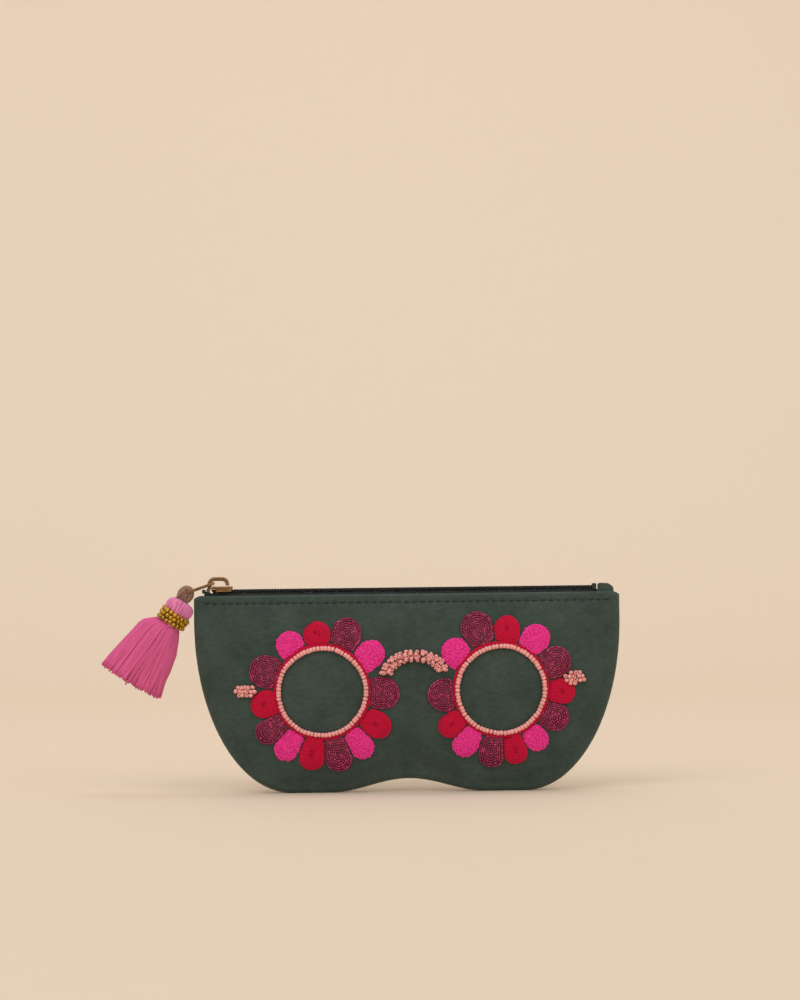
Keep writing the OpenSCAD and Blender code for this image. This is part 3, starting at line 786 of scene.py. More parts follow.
def make_lining(side):
    """The woven lining, sewn in below the hem."""
    nu, nr = 110, 44
    w = HALF - 1.6
    x = w * np.sin(np.linspace(-np.pi / 2, np.pi / 2, nu + 1))
    lo, hi = low(x) + 1.6, high(x) - mm("hem") + 0.2
    z = lo + (hi - lo) * np.linspace(0, 1, nr)[:, None]
    xx = np.broadcast_to(x, z.shape)
    v = climb(xx, z)
    inside = 1.15 + 0.35 + 1.65 * across(xx) * (1 - (1 - v) ** 3)
    loose = 0.22 * (1 + np.sin(xx * 0.31 + 0.6 * np.sin(z * 0.21))) * across(xx)
    face = depth_at(xx, z, side)
    outer = np.maximum(face - inside - 0.12 - loose, 0.22 * face)
    inner = np.maximum(outer - 0.45, 0.08)
    rows = np.concatenate([outer, inner[::-1]])
    zz = np.concatenate([z, z[::-1]])
    s = -1 if side == "front" else 1
    verts = np.stack([np.broadcast_to(x, zz.shape), s * rows, zz], -1).transpose(1, 0, 2).reshape(-1, 3)
    parts = Parts()
    parts.add(verts, outward(verts, ring_faces(nu + 1, 2 * nr, False)))
    lining = parts.build(f"{side}_lining_cloth", MATERIALS["lining"])
    return place(lining, side, "lining", f"{side}_lining")


def make_topstitch(side):
    """A row of sunk lockstitches along the mouth."""
    rng = np.random.default_rng(11 if side == "front" else 12)
    pitch = mm("stitch_pitch")
    count = int((2 * HALF - 8) / pitch)
    parts = Parts()
    for k in range(count):
        mid = (k - (count - 1) / 2) * pitch
        t = np.linspace(-1, 1, 9)
        x = mid + t * pitch * 0.37
        z = high(x) - mm("stitch_drop") + 0.12 * t * rng.uniform(0.4, 1.0) + rng.normal(0, 0.05)
        lift = 0.20 - 0.50 * np.abs(t) ** 3
        parts.add(*tube(lay(x, z, lift, side), 0.31 * (1 - 0.35 * np.abs(t) ** 4), 7),
                  tone=rng.uniform(0.2, 0.8))
    return place(parts.build(f"{side}_topstitching", MATERIALS["stitch"]), side, "stitch_thread",
                 f"{side}_topstitch")


# --------------------------------------------------------------------------- the zip
def make_tape(side):
    """Woven tape from under the coil, out to the hem and down inside it."""
    x0, x1 = -HALF + 5.0, HALF - 10.4
    x = np.linspace(x0, x1, 120)
    top = coil_lo[2] - 0.1 + 0.9 * smooth01((coil_lo[0] + 0.5 - x) / 2.2)
    rim = high(x) - 1.5
    s = -1 if side == "front" else 1
    face = depth_at(x, rim, side)
    hem = np.minimum(1.0 + 1.6 * across(x), face * 0.7)
    wall = face - hem - 0.35
    end = rim - 7.5
    wall_low = depth_at(x, end, side) - hem - 0.55
    wave = 0.05 * np.sin(x * 1.9) + 0.04 * np.sin(x * 0.8 + 1)
    line = [(0.5 + 0 * x, top), (np.minimum(1.15, wall * 0.6), top - 0.25), (wall * 0.75, top - 0.55 + wave),
            (wall * 0.96, rim + 0.35 + wave), (wall, rim - 1.2), (wall_low, end + 3.0), (wall_low - 0.1, end)]
    pts = np.stack([np.stack([a, b], -1) for a, b in line], 1)
    along = np.gradient(pts, axis=1)
    normal = unit(np.stack([-along[..., 1], along[..., 0]], -1)) * 0.2
    loop = np.concatenate([pts + normal, (pts - normal)[:, ::-1]], 1)
    verts = np.stack([np.broadcast_to(x[:, None], loop.shape[:2]), s * loop[..., 0], loop[..., 1]], -1)
    verts = verts.reshape(-1, 3)
    parts = Parts()
    parts.add(verts, outward(verts, ring_faces(len(x), loop.shape[1], False)))
    tape = parts.build(f"{side}_zip_tape_woven", MATERIALS["tape"])
    return place(tape, side, "zip_tape", f"{side}_zip_tape")


def make_coil(side):
    """One row of nylon coil, each turn reaching between two turns of the other row."""
    pitch = mm("coil_pitch")
    s = -1 if side == "front" else 1
    turns = int((coil_hi[0] - coil_lo[0]) / pitch) - 1
    steps = 14
    t = np.arange(turns * steps + 1) / steps
    a = 2 * np.pi * t
    y = 0.62 + 0.66 * np.cos(a)
    z = (coil_lo[2] + coil_hi[2]) / 2 + 0.62 * np.sin(a)
    x = coil_lo[0] + 0.5 + pitch * (t + (0.5 if side == "front" else 0.0)) + 0.10 * np.cos(a)
    parts = Parts()
    parts.add(*tube(np.stack([x, s * y, z], -1), 0.33, 7), tone=0.5)
    sewn = np.linspace(coil_lo[0], coil_hi[0] - 0.5, 260)
    for off in (0.35, 1.0):
        bump = 0.05 * np.cos(2 * np.pi * sewn / pitch)
        cord = np.stack([sewn, np.full(260, s * off), coil_hi[2] - 0.24 + bump], -1)
        parts.add(*tube(cord, 0.17, 5), tone=0.7)
    return place(parts.build(f"{side}_coil_turns", MATERIALS["coil"]), side, "zip_coil", f"{side}_zip_coil")


def make_plate(name, loops, thickness, bevel, turn=None):
    """A flat plate with holes and rounded edges, cut from outlines in x and y."""
    curve = bpy.data.curves.new(name, "CURVE")
    curve.dimensions = "2D"
    curve.fill_mode = "BOTH"
    curve.extrude = (thickness / 2 - bevel)
    curve.bevel_depth = bevel
    curve.bevel_resolution = 3
    for loop in loops:
        spline = curve.splines.new("POLY")
        spline.points.add(len(loop) - 1)
        for point, (a, b) in zip(spline.points, loop):
            point.co = (a, b, 0, 1)
        spline.use_cyclic_u = True
    holder = bpy.data.objects.new(name, curve)
    bpy.context.scene.collection.objects.link(holder)
    bpy.context.view_layer.update()
    shown = holder.evaluated_get(bpy.context.evaluated_depsgraph_get())
    mesh = bpy.data.meshes.new_from_object(shown)
    bpy.data.objects.remove(holder)
    bpy.data.curves.remove(curve)
    bm = bmesh.new()
    bm.from_mesh(mesh)
    bmesh.ops.remove_doubles(bm, verts=bm.verts, dist=0.004)
    bmesh.ops.recalc_face_normals(bm, faces=bm.faces)
    bm.to_mesh(mesh)
    bm.free()
    co = np.array([v.co[:] for v in mesh.vertices])
    faces = [np.array([p.vertices[:]]) for p in mesh.polygons]
    bpy.data.meshes.remove(mesh)
    if turn is not None:
        co = turn(co)
    return co, outward(co, faces)


def rounded_loop(points, radius, steps=5):
    """The same outline with each corner rounded."""
    pts = [np.array(p, float) for p in points]
    out = []
    for k, p in enumerate(pts):
        a, b = pts[k - 1] - p, pts[(k + 1) % len(pts)] - p
        r = min(radius, 0.45 * np.linalg.norm(a), 0.45 * np.linalg.norm(b))
        a, b = p + unit(a) * r, p + unit(b) * r
        for t in np.linspace(0, 1, steps):
            out.append((1 - t) ** 2 * a + 2 * t * (1 - t) * p + t * t * b)
    return out


def block(lo, hi, bevel=0.15, corner=0.4):
    """A small cast block with rounded edges."""
    lo, hi = np.array(lo, float), np.array(hi, float)
    a, b = (hi - lo)[:2] / 2
    loop = rounded_loop([(-a, -b), (a, -b), (a, b), (-a, b)], min(corner, a * 0.8, b * 0.8))
    bevel = min(bevel, (hi - lo)[2] * 0.3, a * 0.4, b * 0.4)
    shrink = [p * (1 - bevel / np.array([a, b])) for p in loop]
    return make_plate("block", [shrink], (hi - lo)[2], bevel, lambda co: co + (lo + hi) / 2)


def make_slider():
    x0, x1 = slider_lo[0], slider_hi[0]
    plate_top = slider_hi[2]
    plate_t = 1.05
    plate_z = plate_top - plate_t
    w = slider_hi[1]
    parts = Parts()
    nose = [(x0 + 0.9, -w * 0.55), (x0 + 2.2, -w + 0.15), (x0 + 4.5, -w + 0.1), (x1 - 2.4, -w * 0.80),
            (x1 - 0.2, -w * 0.55), (x1 - 0.2, w * 0.55), (x1 - 2.4, w * 0.80), (x0 + 4.5, w - 0.1),
            (x0 + 2.2, w - 0.15), (x0 + 0.9, w * 0.55)]
    loop = rounded_loop(nose, 1.4)
    parts.add(*make_plate("plate", [loop], plate_t, 0.28,
                          lambda co: np.stack([co[:, 0], co[:, 1], co[:, 2] + plate_z + plate_t / 2
                                               + 0.16 * (1 - (co[:, 1] / w) ** 2)], -1)))
    for s in (-1, 1):
        y0, y1 = (1.62, 2.75) if s > 0 else (-2.75, -1.62)
        parts.add(*block((x0 + 4.4, y0, coil_lo[2] + 0.72), (x1 - 0.35, y1, plate_z + 0.3), 0.22, 0.5))
    parts.add(*block((x0 + 0.05, -0.42, coil_lo[2] - 1.2), (x0 + 1.65, 0.42, plate_z + 0.3), 0.12, 0.3))
    parts.add(*block((x0 + 0.05, -1.2, coil_lo[2] - 1.6), (x0 + 9.4, 1.2, coil_lo[2] - 1.1), 0.12, 0.5))
    body = parts.build("slider_casting", MATERIALS["brass"])
    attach(body, "slider")
    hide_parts("slider_body")

    a0, a1, z0, z1 = bridge_lo[0] + 0.8, bridge_hi[0] - 0.8, bridge_lo[2] - 0.1, bridge_hi[2] - 0.9
    r = 2.5
    left = [(a0, z0), (a0, z0 + 0.9)] + [(a0 + r - r * math.cos(t), z1 - r + r * math.sin(t))
                                         for t in np.linspace(0, np.pi / 2, 9)]
    right = [(a1 - r + r * math.sin(t), z1 - r + r * math.cos(t)) for t in np.linspace(0, np.pi / 2, 9)]
    line = np.array(left + right + [(a1, z1 - r - 0.5), (a1 - 0.05, z0 + 0.95)])
    path = np.stack([line[:, 0], np.zeros(len(line)), line[:, 1]], -1)
    wide = 1.3 * (1 + 0.10 * np.cos(np.linspace(0, 2 * np.pi, len(line))) - 0.10)
    arch = Parts()
    arch.add(*strap(path, 0.92, wide))
    bridge = arch.build("slider_arch", MATERIALS["brass"])
    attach(bridge, "slider")
    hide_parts("slider_bridge")


def strap(path, half_thick, half_wide, sides=20):
    """A flat strap with rounded edges, lying across y along a path in x and z."""
    along = unit(np.gradient(path, axis=0))
    out = np.stack([-along[:, 2], np.zeros(len(path)), along[:, 0]], -1)
    a = 2 * np.pi * np.arange(sides) / sides
    ca = np.sign(np.cos(a)) * np.abs(np.cos(a)) ** 0.5
    sa = np.sign(np.sin(a)) * np.abs(np.sin(a)) ** 0.5
    wide = np.broadcast_to(half_wide, (len(path),))[:, None, None]
    verts = (path[:, None] + wide * ca[:, None] * np.array([0, 1.0, 0])
             + half_thick * sa[:, None] * out[:, None]).reshape(-1, 3)
    return verts, outward(verts, ring_faces(len(path), sides, False))


PULLER_LENGTH, PULLER_DROOP = 13.3, math.radians(18.5)


def make_puller():
    """The flat puller with its bridge slot and its eye, drooping over the pouch's corner."""
    size = PULLER_LENGTH
    b = 0.22
    outer = rounded_loop([(-0.55, -2.2), (4.6, -2.6), (6.8, -2.0), (8.2, -2.0), (size - 3.2, -2.8),
                          (size - 0.6, -2.3), (size + 0.5, -1.0), (size + 0.5, 1.0), (size - 0.6, 2.3),
                          (size - 3.2, 2.8), (8.2, 2.0), (6.8, 2.0), (4.6, 2.6), (-0.55, 2.2)], 1.2)
    shrink = [np.array([p[0], p[1] * (1 - b / 2.6)]) for p in outer]
    slot_ = rounded_loop([(0.35, -1.62 - b), (5.3 + b, -1.62 - b), (5.3 + b, 1.62 + b), (0.35, 1.62 + b)], 0.7)
    eye = rounded_loop([(size - 4.6 - b, -1.66 - b), (size - 0.62, -1.66 - b), (size - 0.62, 1.66 + b),
                        (size - 4.6 - b, 1.66 + b)], 1.2)
    slot_ = [np.array([p[0], np.clip(p[1], -1.75, 1.75)]) for p in slot_]
    eye = [np.array([p[0], np.clip(p[1], -1.8, 1.8)]) for p in eye]
    pin = np.array([bridge_lo[0] + 2.4, 0.0, slider_hi[2] + 1.5])
    c, s = math.cos(PULLER_DROOP), math.sin(PULLER_DROOP)

    def droop(co):
        return pin + np.stack([-co[:, 0] * c - co[:, 2] * s, co[:, 1], -co[:, 0] * s + co[:, 2] * c], -1)

    parts = Parts()
    parts.add(*make_plate("puller", [shrink, slot_, eye], 1.4, 0.3, droop))
    puller = parts.build("puller_plate", MATERIALS["brass"])
    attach(puller, "puller")
    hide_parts("puller")


def make_stops_and_tab():
    """Nylon stops at both ends of the zip and the folded fabric tab over its right end."""
    for node, side in (("back_top_stop", "back"), ("front_top_stop", "front")):
        lo, hi = (c - ORIGIN for c in box_mm(node))
        parts = Parts()
        parts.add(*block(lo, hi, 0.2, 0.4))
        place(parts.build(node + "_crimped", MATERIALS["coil"]), side, "zip_coil", node)
    lo, hi = (c - ORIGIN for c in box_mm("zip_bottom_stop"))
    parts = Parts()
    parts.add(*block((lo[0], lo[1], hi[2] - 0.75), hi, 0.2, 0.5))
    for s in (-1, 1):
        y0, y1 = sorted((s * 1.35, s * 1.85))
        parts.add(*block((lo[0], y0, lo[2]), (hi[0], y1, hi[2] - 0.1), 0.15, 0.3))
    place(parts.build("bottom_stop_crimped", MATERIALS["coil"]), "back", "zip_coil", "zip_bottom_stop")

    lo, hi = (c - ORIGIN for c in box_mm("zip_end_tab"))
    w, h = hi[0] - lo[0], hi[2] - lo[2]
    parts = Parts()
    for s in (-1, 1):
        corners = [(0.3, 0), (w - 0.2, 0), (w - 0.2, h - 1.9), (w - 2.2, h - 0.3), (0.3, h - 0.1)]
        loop = rounded_loop(corners, 0.9, 6)
        grow = lambda co, s=s: np.stack([lo[0] + co[:, 0], s * 0.82 + co[:, 2],
                                         lo[2] + co[:, 1]], -1)
        parts.add(*make_plate("tab", [loop], 1.45, 0.5, grow), tone=0.25)
    place(parts.build("end_tab_folded", MATERIALS["suede"]), "back", "faux_suede", "zip_end_tab")


# --------------------------------------------------------------------------- embroidery
def petal_outline(node, angles=72):
    """Middle and reach in every direction of a petal's solid, seen from the front."""
    co = np.array([v.co[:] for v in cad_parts[node].data.vertices]) / MM - ORIGIN
    pts = sorted({(round(a, 3), round(b, 3)) for a, b in co[:, [0, 2]]})

    def half_hull(points):
        hull = []
        for p in points:
            while len(hull) > 1 and ((hull[-1][0] - hull[-2][0]) * (p[1] - hull[-2][1])
                                     - (hull[-1][1] - hull[-2][1]) * (p[0] - hull[-2][0])) <= 0:
                hull.pop()
            hull.append(p)
        return hull[:-1]

    hull = np.array(half_hull(pts) + half_hull(pts[::-1]))
    mid = (hull.max(0) + hull.min(0)) / 2
    a = 2 * np.pi * np.arange(angles) / angles
    d = np.stack([np.cos(a), np.sin(a)], -1)
    p, q = hull, np.roll(hull, -1, 0)
    reach = np.full(angles, 1e9)
    for u, v in zip(p, q):
        e = v - u
        cross = d[:, 0] * e[1] - d[:, 1] * e[0]
        with np.errstate(divide="ignore", invalid="ignore"):
            t = ((u - mid)[0] * e[1] - (u - mid)[1] * e[0]) / cross
            k = ((u - mid)[0] * d[:, 1] - (u - mid)[1] * d[:, 0]) / cross
        hit = (np.abs(cross) > 1e-9) & (t > 0) & (k >= -1e-6) & (k <= 1 + 1e-6)
        reach = np.where(hit, np.minimum(reach, t), reach)
    for _ in range(2):
        reach = 0.5 * reach + 0.25 * (np.roll(reach, 1) + np.roll(reach, -1))
    return mid, reach


def reach_at(reach, a):
    f = (a / (2 * np.pi) % 1) * len(reach)
    i = f.astype(int) % len(reach)
    return reach[i] * (1 - (f - f.astype(int))) + reach[(i + 1) % len(reach)] * (f - f.astype(int))


def dome(share, height):
    """Height of a stuffed petal's surface, by distance from its middle to its edge."""
    return height * (1 - np.clip(share, 0, 1) ** 3.2)


def petal_pad(parts, mid, reach, height, tone):
    """The solid bed under the stitches, sunk a little into the suede."""
    n, rings = len(reach), 9
    a = 2 * np.pi * np.arange(n) / n
    share = np.sin(np.linspace(0, np.pi / 2, rings + 1))[1:]
    rows = [np.stack([mid + (reach * f)[:, None] * np.stack([np.cos(a), np.sin(a)], -1)], 0)[0] for f in share]
    flat = np.concatenate(rows)
    lift = np.repeat(dome(share, height) - 0.12, n)
    top = lay(flat[:, 0], flat[:, 1], lift)
    rim = rows[-1]
    sunk = lay(rim[:, 0], rim[:, 1], np.full(n, -0.35))
    cap = lay(mid[0:1], mid[1:2], np.array([dome(0, height) - 0.12]))
    base = lay(mid[0:1], mid[1:2], np.array([-0.35]))
    verts = np.concatenate([top, sunk, cap, base])
    i = np.arange(n)
    k = (i + 1) % n
    quads = [np.stack([r * n + i, r * n + k, (r + 1) * n + k, (r + 1) * n + i], -1) for r in range(rings)]
    c0 = (rings + 1) * n
    fans = [np.stack([k, i, np.full(n, c0)], -1),
            np.stack([rings * n + i, rings * n + k, np.full(n, c0 + 1)], -1)]
    parts.add(verts, outward(verts, quads + fans), tone)


def winding(mid, reach, row, start=0.5, step=0.34):
    """A line that winds in from a petal's edge to its middle, one row apart."""
    pts, turn, a = [], 0.0, 2.2
    room = reach.mean() - start
    while row * turn < room - 0.22:
        r = (float(reach_at(reach, np.array([a]))[0]) - start) * (1 - row * turn / room)
        pts.append((mid[0] + r * math.cos(a), mid[1] + r * math.sin(a), r))
        da = step / max(r, 0.5)
        a += da
        turn += da / (2 * np.pi)
    # the first turn runs off the edge; a short row beside it fills the sliver it leaves
    a = 2.2 + np.arange(0.45 * 2 * np.pi, 0.97 * 2 * np.pi, step / (reach.mean() - start))
    r = reach_at(reach, a) - start
    return np.array(pts), np.stack([mid[0] + r * np.cos(a), mid[1] + r * np.sin(a), r], -1)


def petal_share(p, mid, reach):
    a = np.arctan2(p[:, 1] - mid[1], p[:, 0] - mid[0])
    return np.hypot(p[:, 0] - mid[0], p[:, 1] - mid[1]) / reach_at(reach, a)


def make_chain_petal(node, seed):
    """Crimson chain stitch wound in rows from the edge to the middle."""
    rng = np.random.default_rng(seed)
    mid, reach = petal_outline(node)
    parts = Parts()
    petal_pad(parts, mid, reach - 0.1, 1.05, 0.3)
    for p in winding(mid, reach, mm("chain_row"), start=0.45):
        link = np.arange(len(p)) * 0.34 / 1.7
        lift = dome(petal_share(p, mid, reach), 1.05) + 0.12 + 0.10 * np.abs(np.sin(np.pi * link))
        end = np.linspace(0, 1, len(p))
        radius = (0.53 + 0.11 * np.abs(np.sin(np.pi * link))) * smooth01(0.35 + 6 * np.minimum(end, 1 - end))
        tone = 0.45 + 0.2 * np.sin(np.pi * link * 2) + rng.normal(0, 0.05, len(p))
        tone = np.repeat(np.clip(tone, 0, 1), 8)
        parts.add(*tube(lay(p[:, 0], p[:, 1], lift), radius, 8), tone=tone)
    return place(parts.build(node + "_chain", MATERIALS["crimson"]), "front", "chain_stitch_crimson", node)


def make_knot_petal(node, seed):
    """Hot pink knots packed over a stuffed bed."""
    rng = np.random.default_rng(seed)
    mid, reach = petal_outline(node)
    parts = Parts()
    petal_pad(parts, mid, reach - 0.1, 1.15, 0.25)
    gap = mm("knot")
    span = int(reach.max() / gap) + 2
    i, j = np.meshgrid(np.arange(-span, span + 1), np.arange(-span, span + 1))
    p = np.stack([(i + 0.5 * (j % 2)) * gap, j * gap * 0.87], -1).reshape(-1, 2)
    p = p + rng.normal(0, 0.15, p.shape) + mid
    a = np.arctan2(p[:, 1] - mid[1], p[:, 0] - mid[0])
    p = p[np.hypot(p[:, 0] - mid[0], p[:, 1] - mid[1]) < reach_at(reach, a) - 0.38]
    n = len(p)
    up = face_normal(p[:, 0], p[:, 1])
    up = unit(up + rng.normal(0, 0.28, up.shape))
    spin = unit(np.cross(up, unit(rng.normal(0, 1, up.shape))))
    axes = np.stack([spin, np.cross(up, spin), up], 1)
    lift = dome(petal_share(p, mid, reach), 1.15) + rng.uniform(-0.05, 0.2, n)
    stamp(parts, knot_shape(), lay(p[:, 0], p[:, 1], lift), axes, rng.uniform(0.1, 0.95, n),
          scale=gap * 0.60 * rng.uniform(0.85, 1.2, n))
    return place(parts.build(node + "_knots", MATERIALS["pink"]), "front", "knot_stitch_pink", node)


def make_beaded_petal(node, seed):
    """Tiny cut beads couched in rows over a stuffed bed."""
    rng = np.random.default_rng(seed)
    mid, reach = petal_outline(node)
    parts = Parts()
    petal_pad(parts, mid, reach - 0.1, 1.1, 0.1)
    rows = winding(mid, reach, mm("bead_row"), start=0.5, step=0.98)
    p = np.concatenate(rows)
    n = len(p)
    run = np.concatenate([np.gradient(row[:, :2], axis=0) for row in rows])
    up = face_normal(p[:, 0], p[:, 1])
    along = unit(np.stack([run[:, 0], np.zeros(n), run[:, 1]], -1) + rng.normal(0, 0.14, (n, 3)))
    side_ = unit(np.cross(up, along))
    axes = np.stack([side_, np.cross(along, side_), along], 1)
    lift = dome(petal_share(p, mid, reach), 1.1) + 0.28 + rng.uniform(-0.06, 0.12, n)
    stamp(parts, cut_bead_shape(0.47, 0.9), lay(p[:, 0], p[:, 1], lift), axes, rng.uniform(0, 1, n) ** 1.3,
          scale=rng.uniform(0.92, 1.1, n))
    return place(parts.build(node + "_beadwork", MATERIALS["magenta"]), "front", "beadwork_magenta", node)


PETAL_KINDS = {
    "left": "knot chain bead knot bead chain knot bead chain knot bead chain bead".split(),
    "right": "knot bead chain knot bead chain bead knot chain bead knot chain bead".split(),
}
PETAL_MAKERS = {"knot": make_knot_petal, "chain": make_chain_petal, "bead": make_beaded_petal}


def make_petals(kind):
    for s, (side, kinds) in enumerate(PETAL_KINDS.items()):
        for k, each in enumerate(kinds):
            if each == kind:
                PETAL_MAKERS[kind](f"{side}_petal_{k + 1}", 100 * (s + 1) + k)


def make_petal_base(side):
    """The ring of crimson chain stitch just outside the lens beads."""
    cx, cz = FLOWERS[side]
    parts = Parts()
    a = np.linspace(0, 2 * np.pi, 300, endpoint=False)
    for row, r in enumerate((21.45, 22.15)):
        link = a * r / 1.7 + row
        x, z = cx + r * np.cos(a), cz + r * np.sin(a)
        lift = 0.30 + 0.10 * np.abs(np.sin(np.pi * link)) - 0.15 * (row == 2)
        parts.add(*tube(lay(x, z, lift), 0.46 + 0.08 * np.abs(np.sin(np.pi * link)), 7, closed=True), tone=0.45)
    return place(parts.build(f"{side}_petal_base_chain", MATERIALS["crimson"]), "front",
                 "chain_stitch_crimson", f"{side}_petal_base")


def scattered_axes(rng, n):
    a = unit(rng.normal(0, 1, (n, 3)))
    b = unit(np.cross(a, unit(rng.normal(0, 1, (n, 3)))))
    return np.stack([a, b, np.cross(a, b)], 1)


def make_lens_beads(side):
    """Beads strung end to end round one lens, on their thread."""
    rng = np.random.default_rng(31 if side == "left" else 32)
    cx, cz = FLOWERS[side]
    n, r0, size = sizes().lens_beads, mm("lens_radius"), mm("lens_bead")
    a = 2 * np.pi * (np.arange(n) + rng.normal(0, 0.06, n)) / n
    r = r0 + 0.16 * np.sin(2 * a + 0.6) + 0.10 * np.sin(5 * a + 1.1) + rng.normal(0, 0.07, n)
    x, z = cx + r * np.cos(a), cz + r * np.sin(a)
    up = face_normal(x, z)
    along = unit(np.stack([-np.sin(a), np.zeros(n), np.cos(a)], -1) + rng.normal(0, 0.07, (n, 3)))
    side_ = unit(np.cross(up, along))
    axes = np.stack([side_, np.cross(along, side_), along], 1)
    parts = Parts()
    stamp(parts, seed_shape(size, 2 * np.pi * r0 / n * 0.98, 0.18), lay(x, z, np.full(n, size / 2 + 0.05)),
          axes, rng.uniform(0.2, 1, n), scale=rng.uniform(0.95, 1.06, n))
    t = np.linspace(0, 2 * np.pi, 200, endpoint=False)
    line = lay(cx + r0 * np.cos(t), cz + r0 * np.sin(t), np.full(200, size / 2 - 0.05))
    parts.add(*tube(line, 0.3, 5, closed=True), tone=0.3)
    return place(parts.build(f"{side}_lens_beads_strung", MATERIALS["blush"]), "front", "blush_beads",
                 f"{side}_lens_beads")


def rope_line(t):
    a = np.pi * (1 - t)
    return np.stack([3.1 + 12.9 * np.cos(a), 56.2 + 0.5 * (2 * t - 1) + 8.0 * np.sin(a)], -1)


def make_nose_beads():
    """A thick rope of beads piled at all angles over the nose."""
    rng = np.random.default_rng(41)
    size = mm("seed_bead")
    places = []
    for count, off, lift in ((12, -1.0, 0.45), (15, 0.0, 0.5), (18, 1.0, 0.45),
                             (14, -0.55, 1.2), (16, 0.5, 1.2)):
        t = (np.arange(count) + 0.5) / count + rng.normal(0, 0.006, count)
        p, q = rope_line(t), rope_line(t + 0.01)
        run = unit(q - p)
        across_ = np.stack([-run[:, 1], run[:, 0]], -1)
        p = p + across_ * off * size * 0.98 + rng.normal(0, 0.16, p.shape)
        raised = np.full((count, 1), lift * size) + rng.normal(0, 0.1, (count, 1))
        places.append(np.concatenate([p, raised], 1))
    p = np.concatenate(places)
    parts = Parts()
    stamp(parts, seed_shape(size, size * 0.74, 0.17), lay(p[:, 0], p[:, 1], p[:, 2]),
          scattered_axes(rng, len(p)), rng.uniform(0.1, 1, len(p)), scale=rng.uniform(0.92, 1.06, len(p)))
    return place(parts.build("nose_bridge_rope", MATERIALS["blush"]), "front", "blush_beads",
                 "nose_bridge_beads")


TEMPLE_ROWS = {
    "left": ((5, -79.0, -72.4, 50.3), (6, -80.0, -71.4, 48.5), (4, -78.6, -73.0, 46.8)),
    "right": ((3, 76.4, 80.2, 55.5), (5, 73.6, 81.6, 53.9), (5, 74.4, 82.2, 52.2), (2, 76.0, 78.0, 50.7)),
}


def make_temple_beads(side):
    rng = np.random.default_rng(51 if side == "left" else 52)
    size = mm("seed_bead")
    p = np.array([(x, z, 0.75 + 0.25 * (k % 2)) for n, x0, x1, z in TEMPLE_ROWS[side]
                  for k, x in enumerate(np.linspace(x0, x1, n))])
    p += rng.normal(0, 0.08, p.shape)
    parts = Parts()
    stamp(parts, seed_shape(size, size * 0.74, 0.17), lay(p[:, 0], p[:, 1], p[:, 2] * size),
          scattered_axes(rng, len(p)), rng.uniform(0.1, 1, len(p)), scale=0.98)
    return place(parts.build(f"{side}_temple_cluster", MATERIALS["blush"]), "front", "blush_beads",
                 f"{side}_temple_beads")


# --------------------------------------------------------------------------- the tassel
def tassel_frame():
    """The top of the tassel and its down, across and depth directions."""
    lean = sizes().tassel_lean
    down = np.array([-math.cos(lean), 0, -math.sin(lean)])
    middle = (loop_lo + loop_hi) / 2
    wide = np.array([math.sin(lean), 0, -math.cos(lean)])
    return middle + down * 3.95 + wide * 1.1, down, wide, np.array([0, 1.0, 0])


def hang(s, a, b):
    """Points s down the tassel, a across it and b behind it."""
    top, down, wide, deep = tassel_frame()
    s, a, b = np.broadcast_arrays(s, a, b)
    return top + s[..., None] * down + a[..., None] * wide + b[..., None] * deep


def ride_tassel(obj, body, node):
    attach(obj, body)
    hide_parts(node)


def make_tassel_loop():
    """Three twisted strands round the puller's rim."""
    middle, down = (loop_lo + loop_hi) / 2, tassel_frame()[1]
    parts = Parts()
    t = np.linspace(0, 2 * np.pi, 160, endpoint=False)
    for k in range(3):
        twist = 7 * t + 2 * np.pi * k / 3
        r = 2.45 + 0.72 * np.cos(twist)
        path = np.stack([r * np.cos(t), 0.85 * np.sin(twist), r * np.sin(t)], -1)
        path += middle + (0.5 * down + 0.22 * np.outer(path @ down, down))
        parts.add(*tube(path, 0.78, 8, closed=True), tone=0.35 + 0.2 * k)
    rng = np.random.default_rng(60)
    t = np.linspace(0, 1, 16)[:, None]
    wide = tassel_frame()[2]
    for k in range(9):
        f = (k - 4) / 4
        start_ = middle - down * 1.2 + wide * 1.5 * f + np.array([0, 1.0, 0]) * (1.3 if k % 2 else -1.3)
        end_ = middle + down * 4.7 + wide * 2.9 * f + np.array([0, 1.0, 0]) * (1.4 if k % 2 else -1.4)
        out = np.array([0, 1.0, 0]) * (0.5 if k % 2 else -0.5) + rng.normal(0, 0.15, 3)
        strand = (1 - t) * start_ + t * end_ + 4 * t * (1 - t) * out
        parts.add(*tube(strand, 0.5, 6), tone=rng.uniform(0.1, 0.9))
    ride_tassel(parts.build("tassel_loop_twisted", MATERIALS["taupe"]), "tassel_loop",
                "tassel_loop")


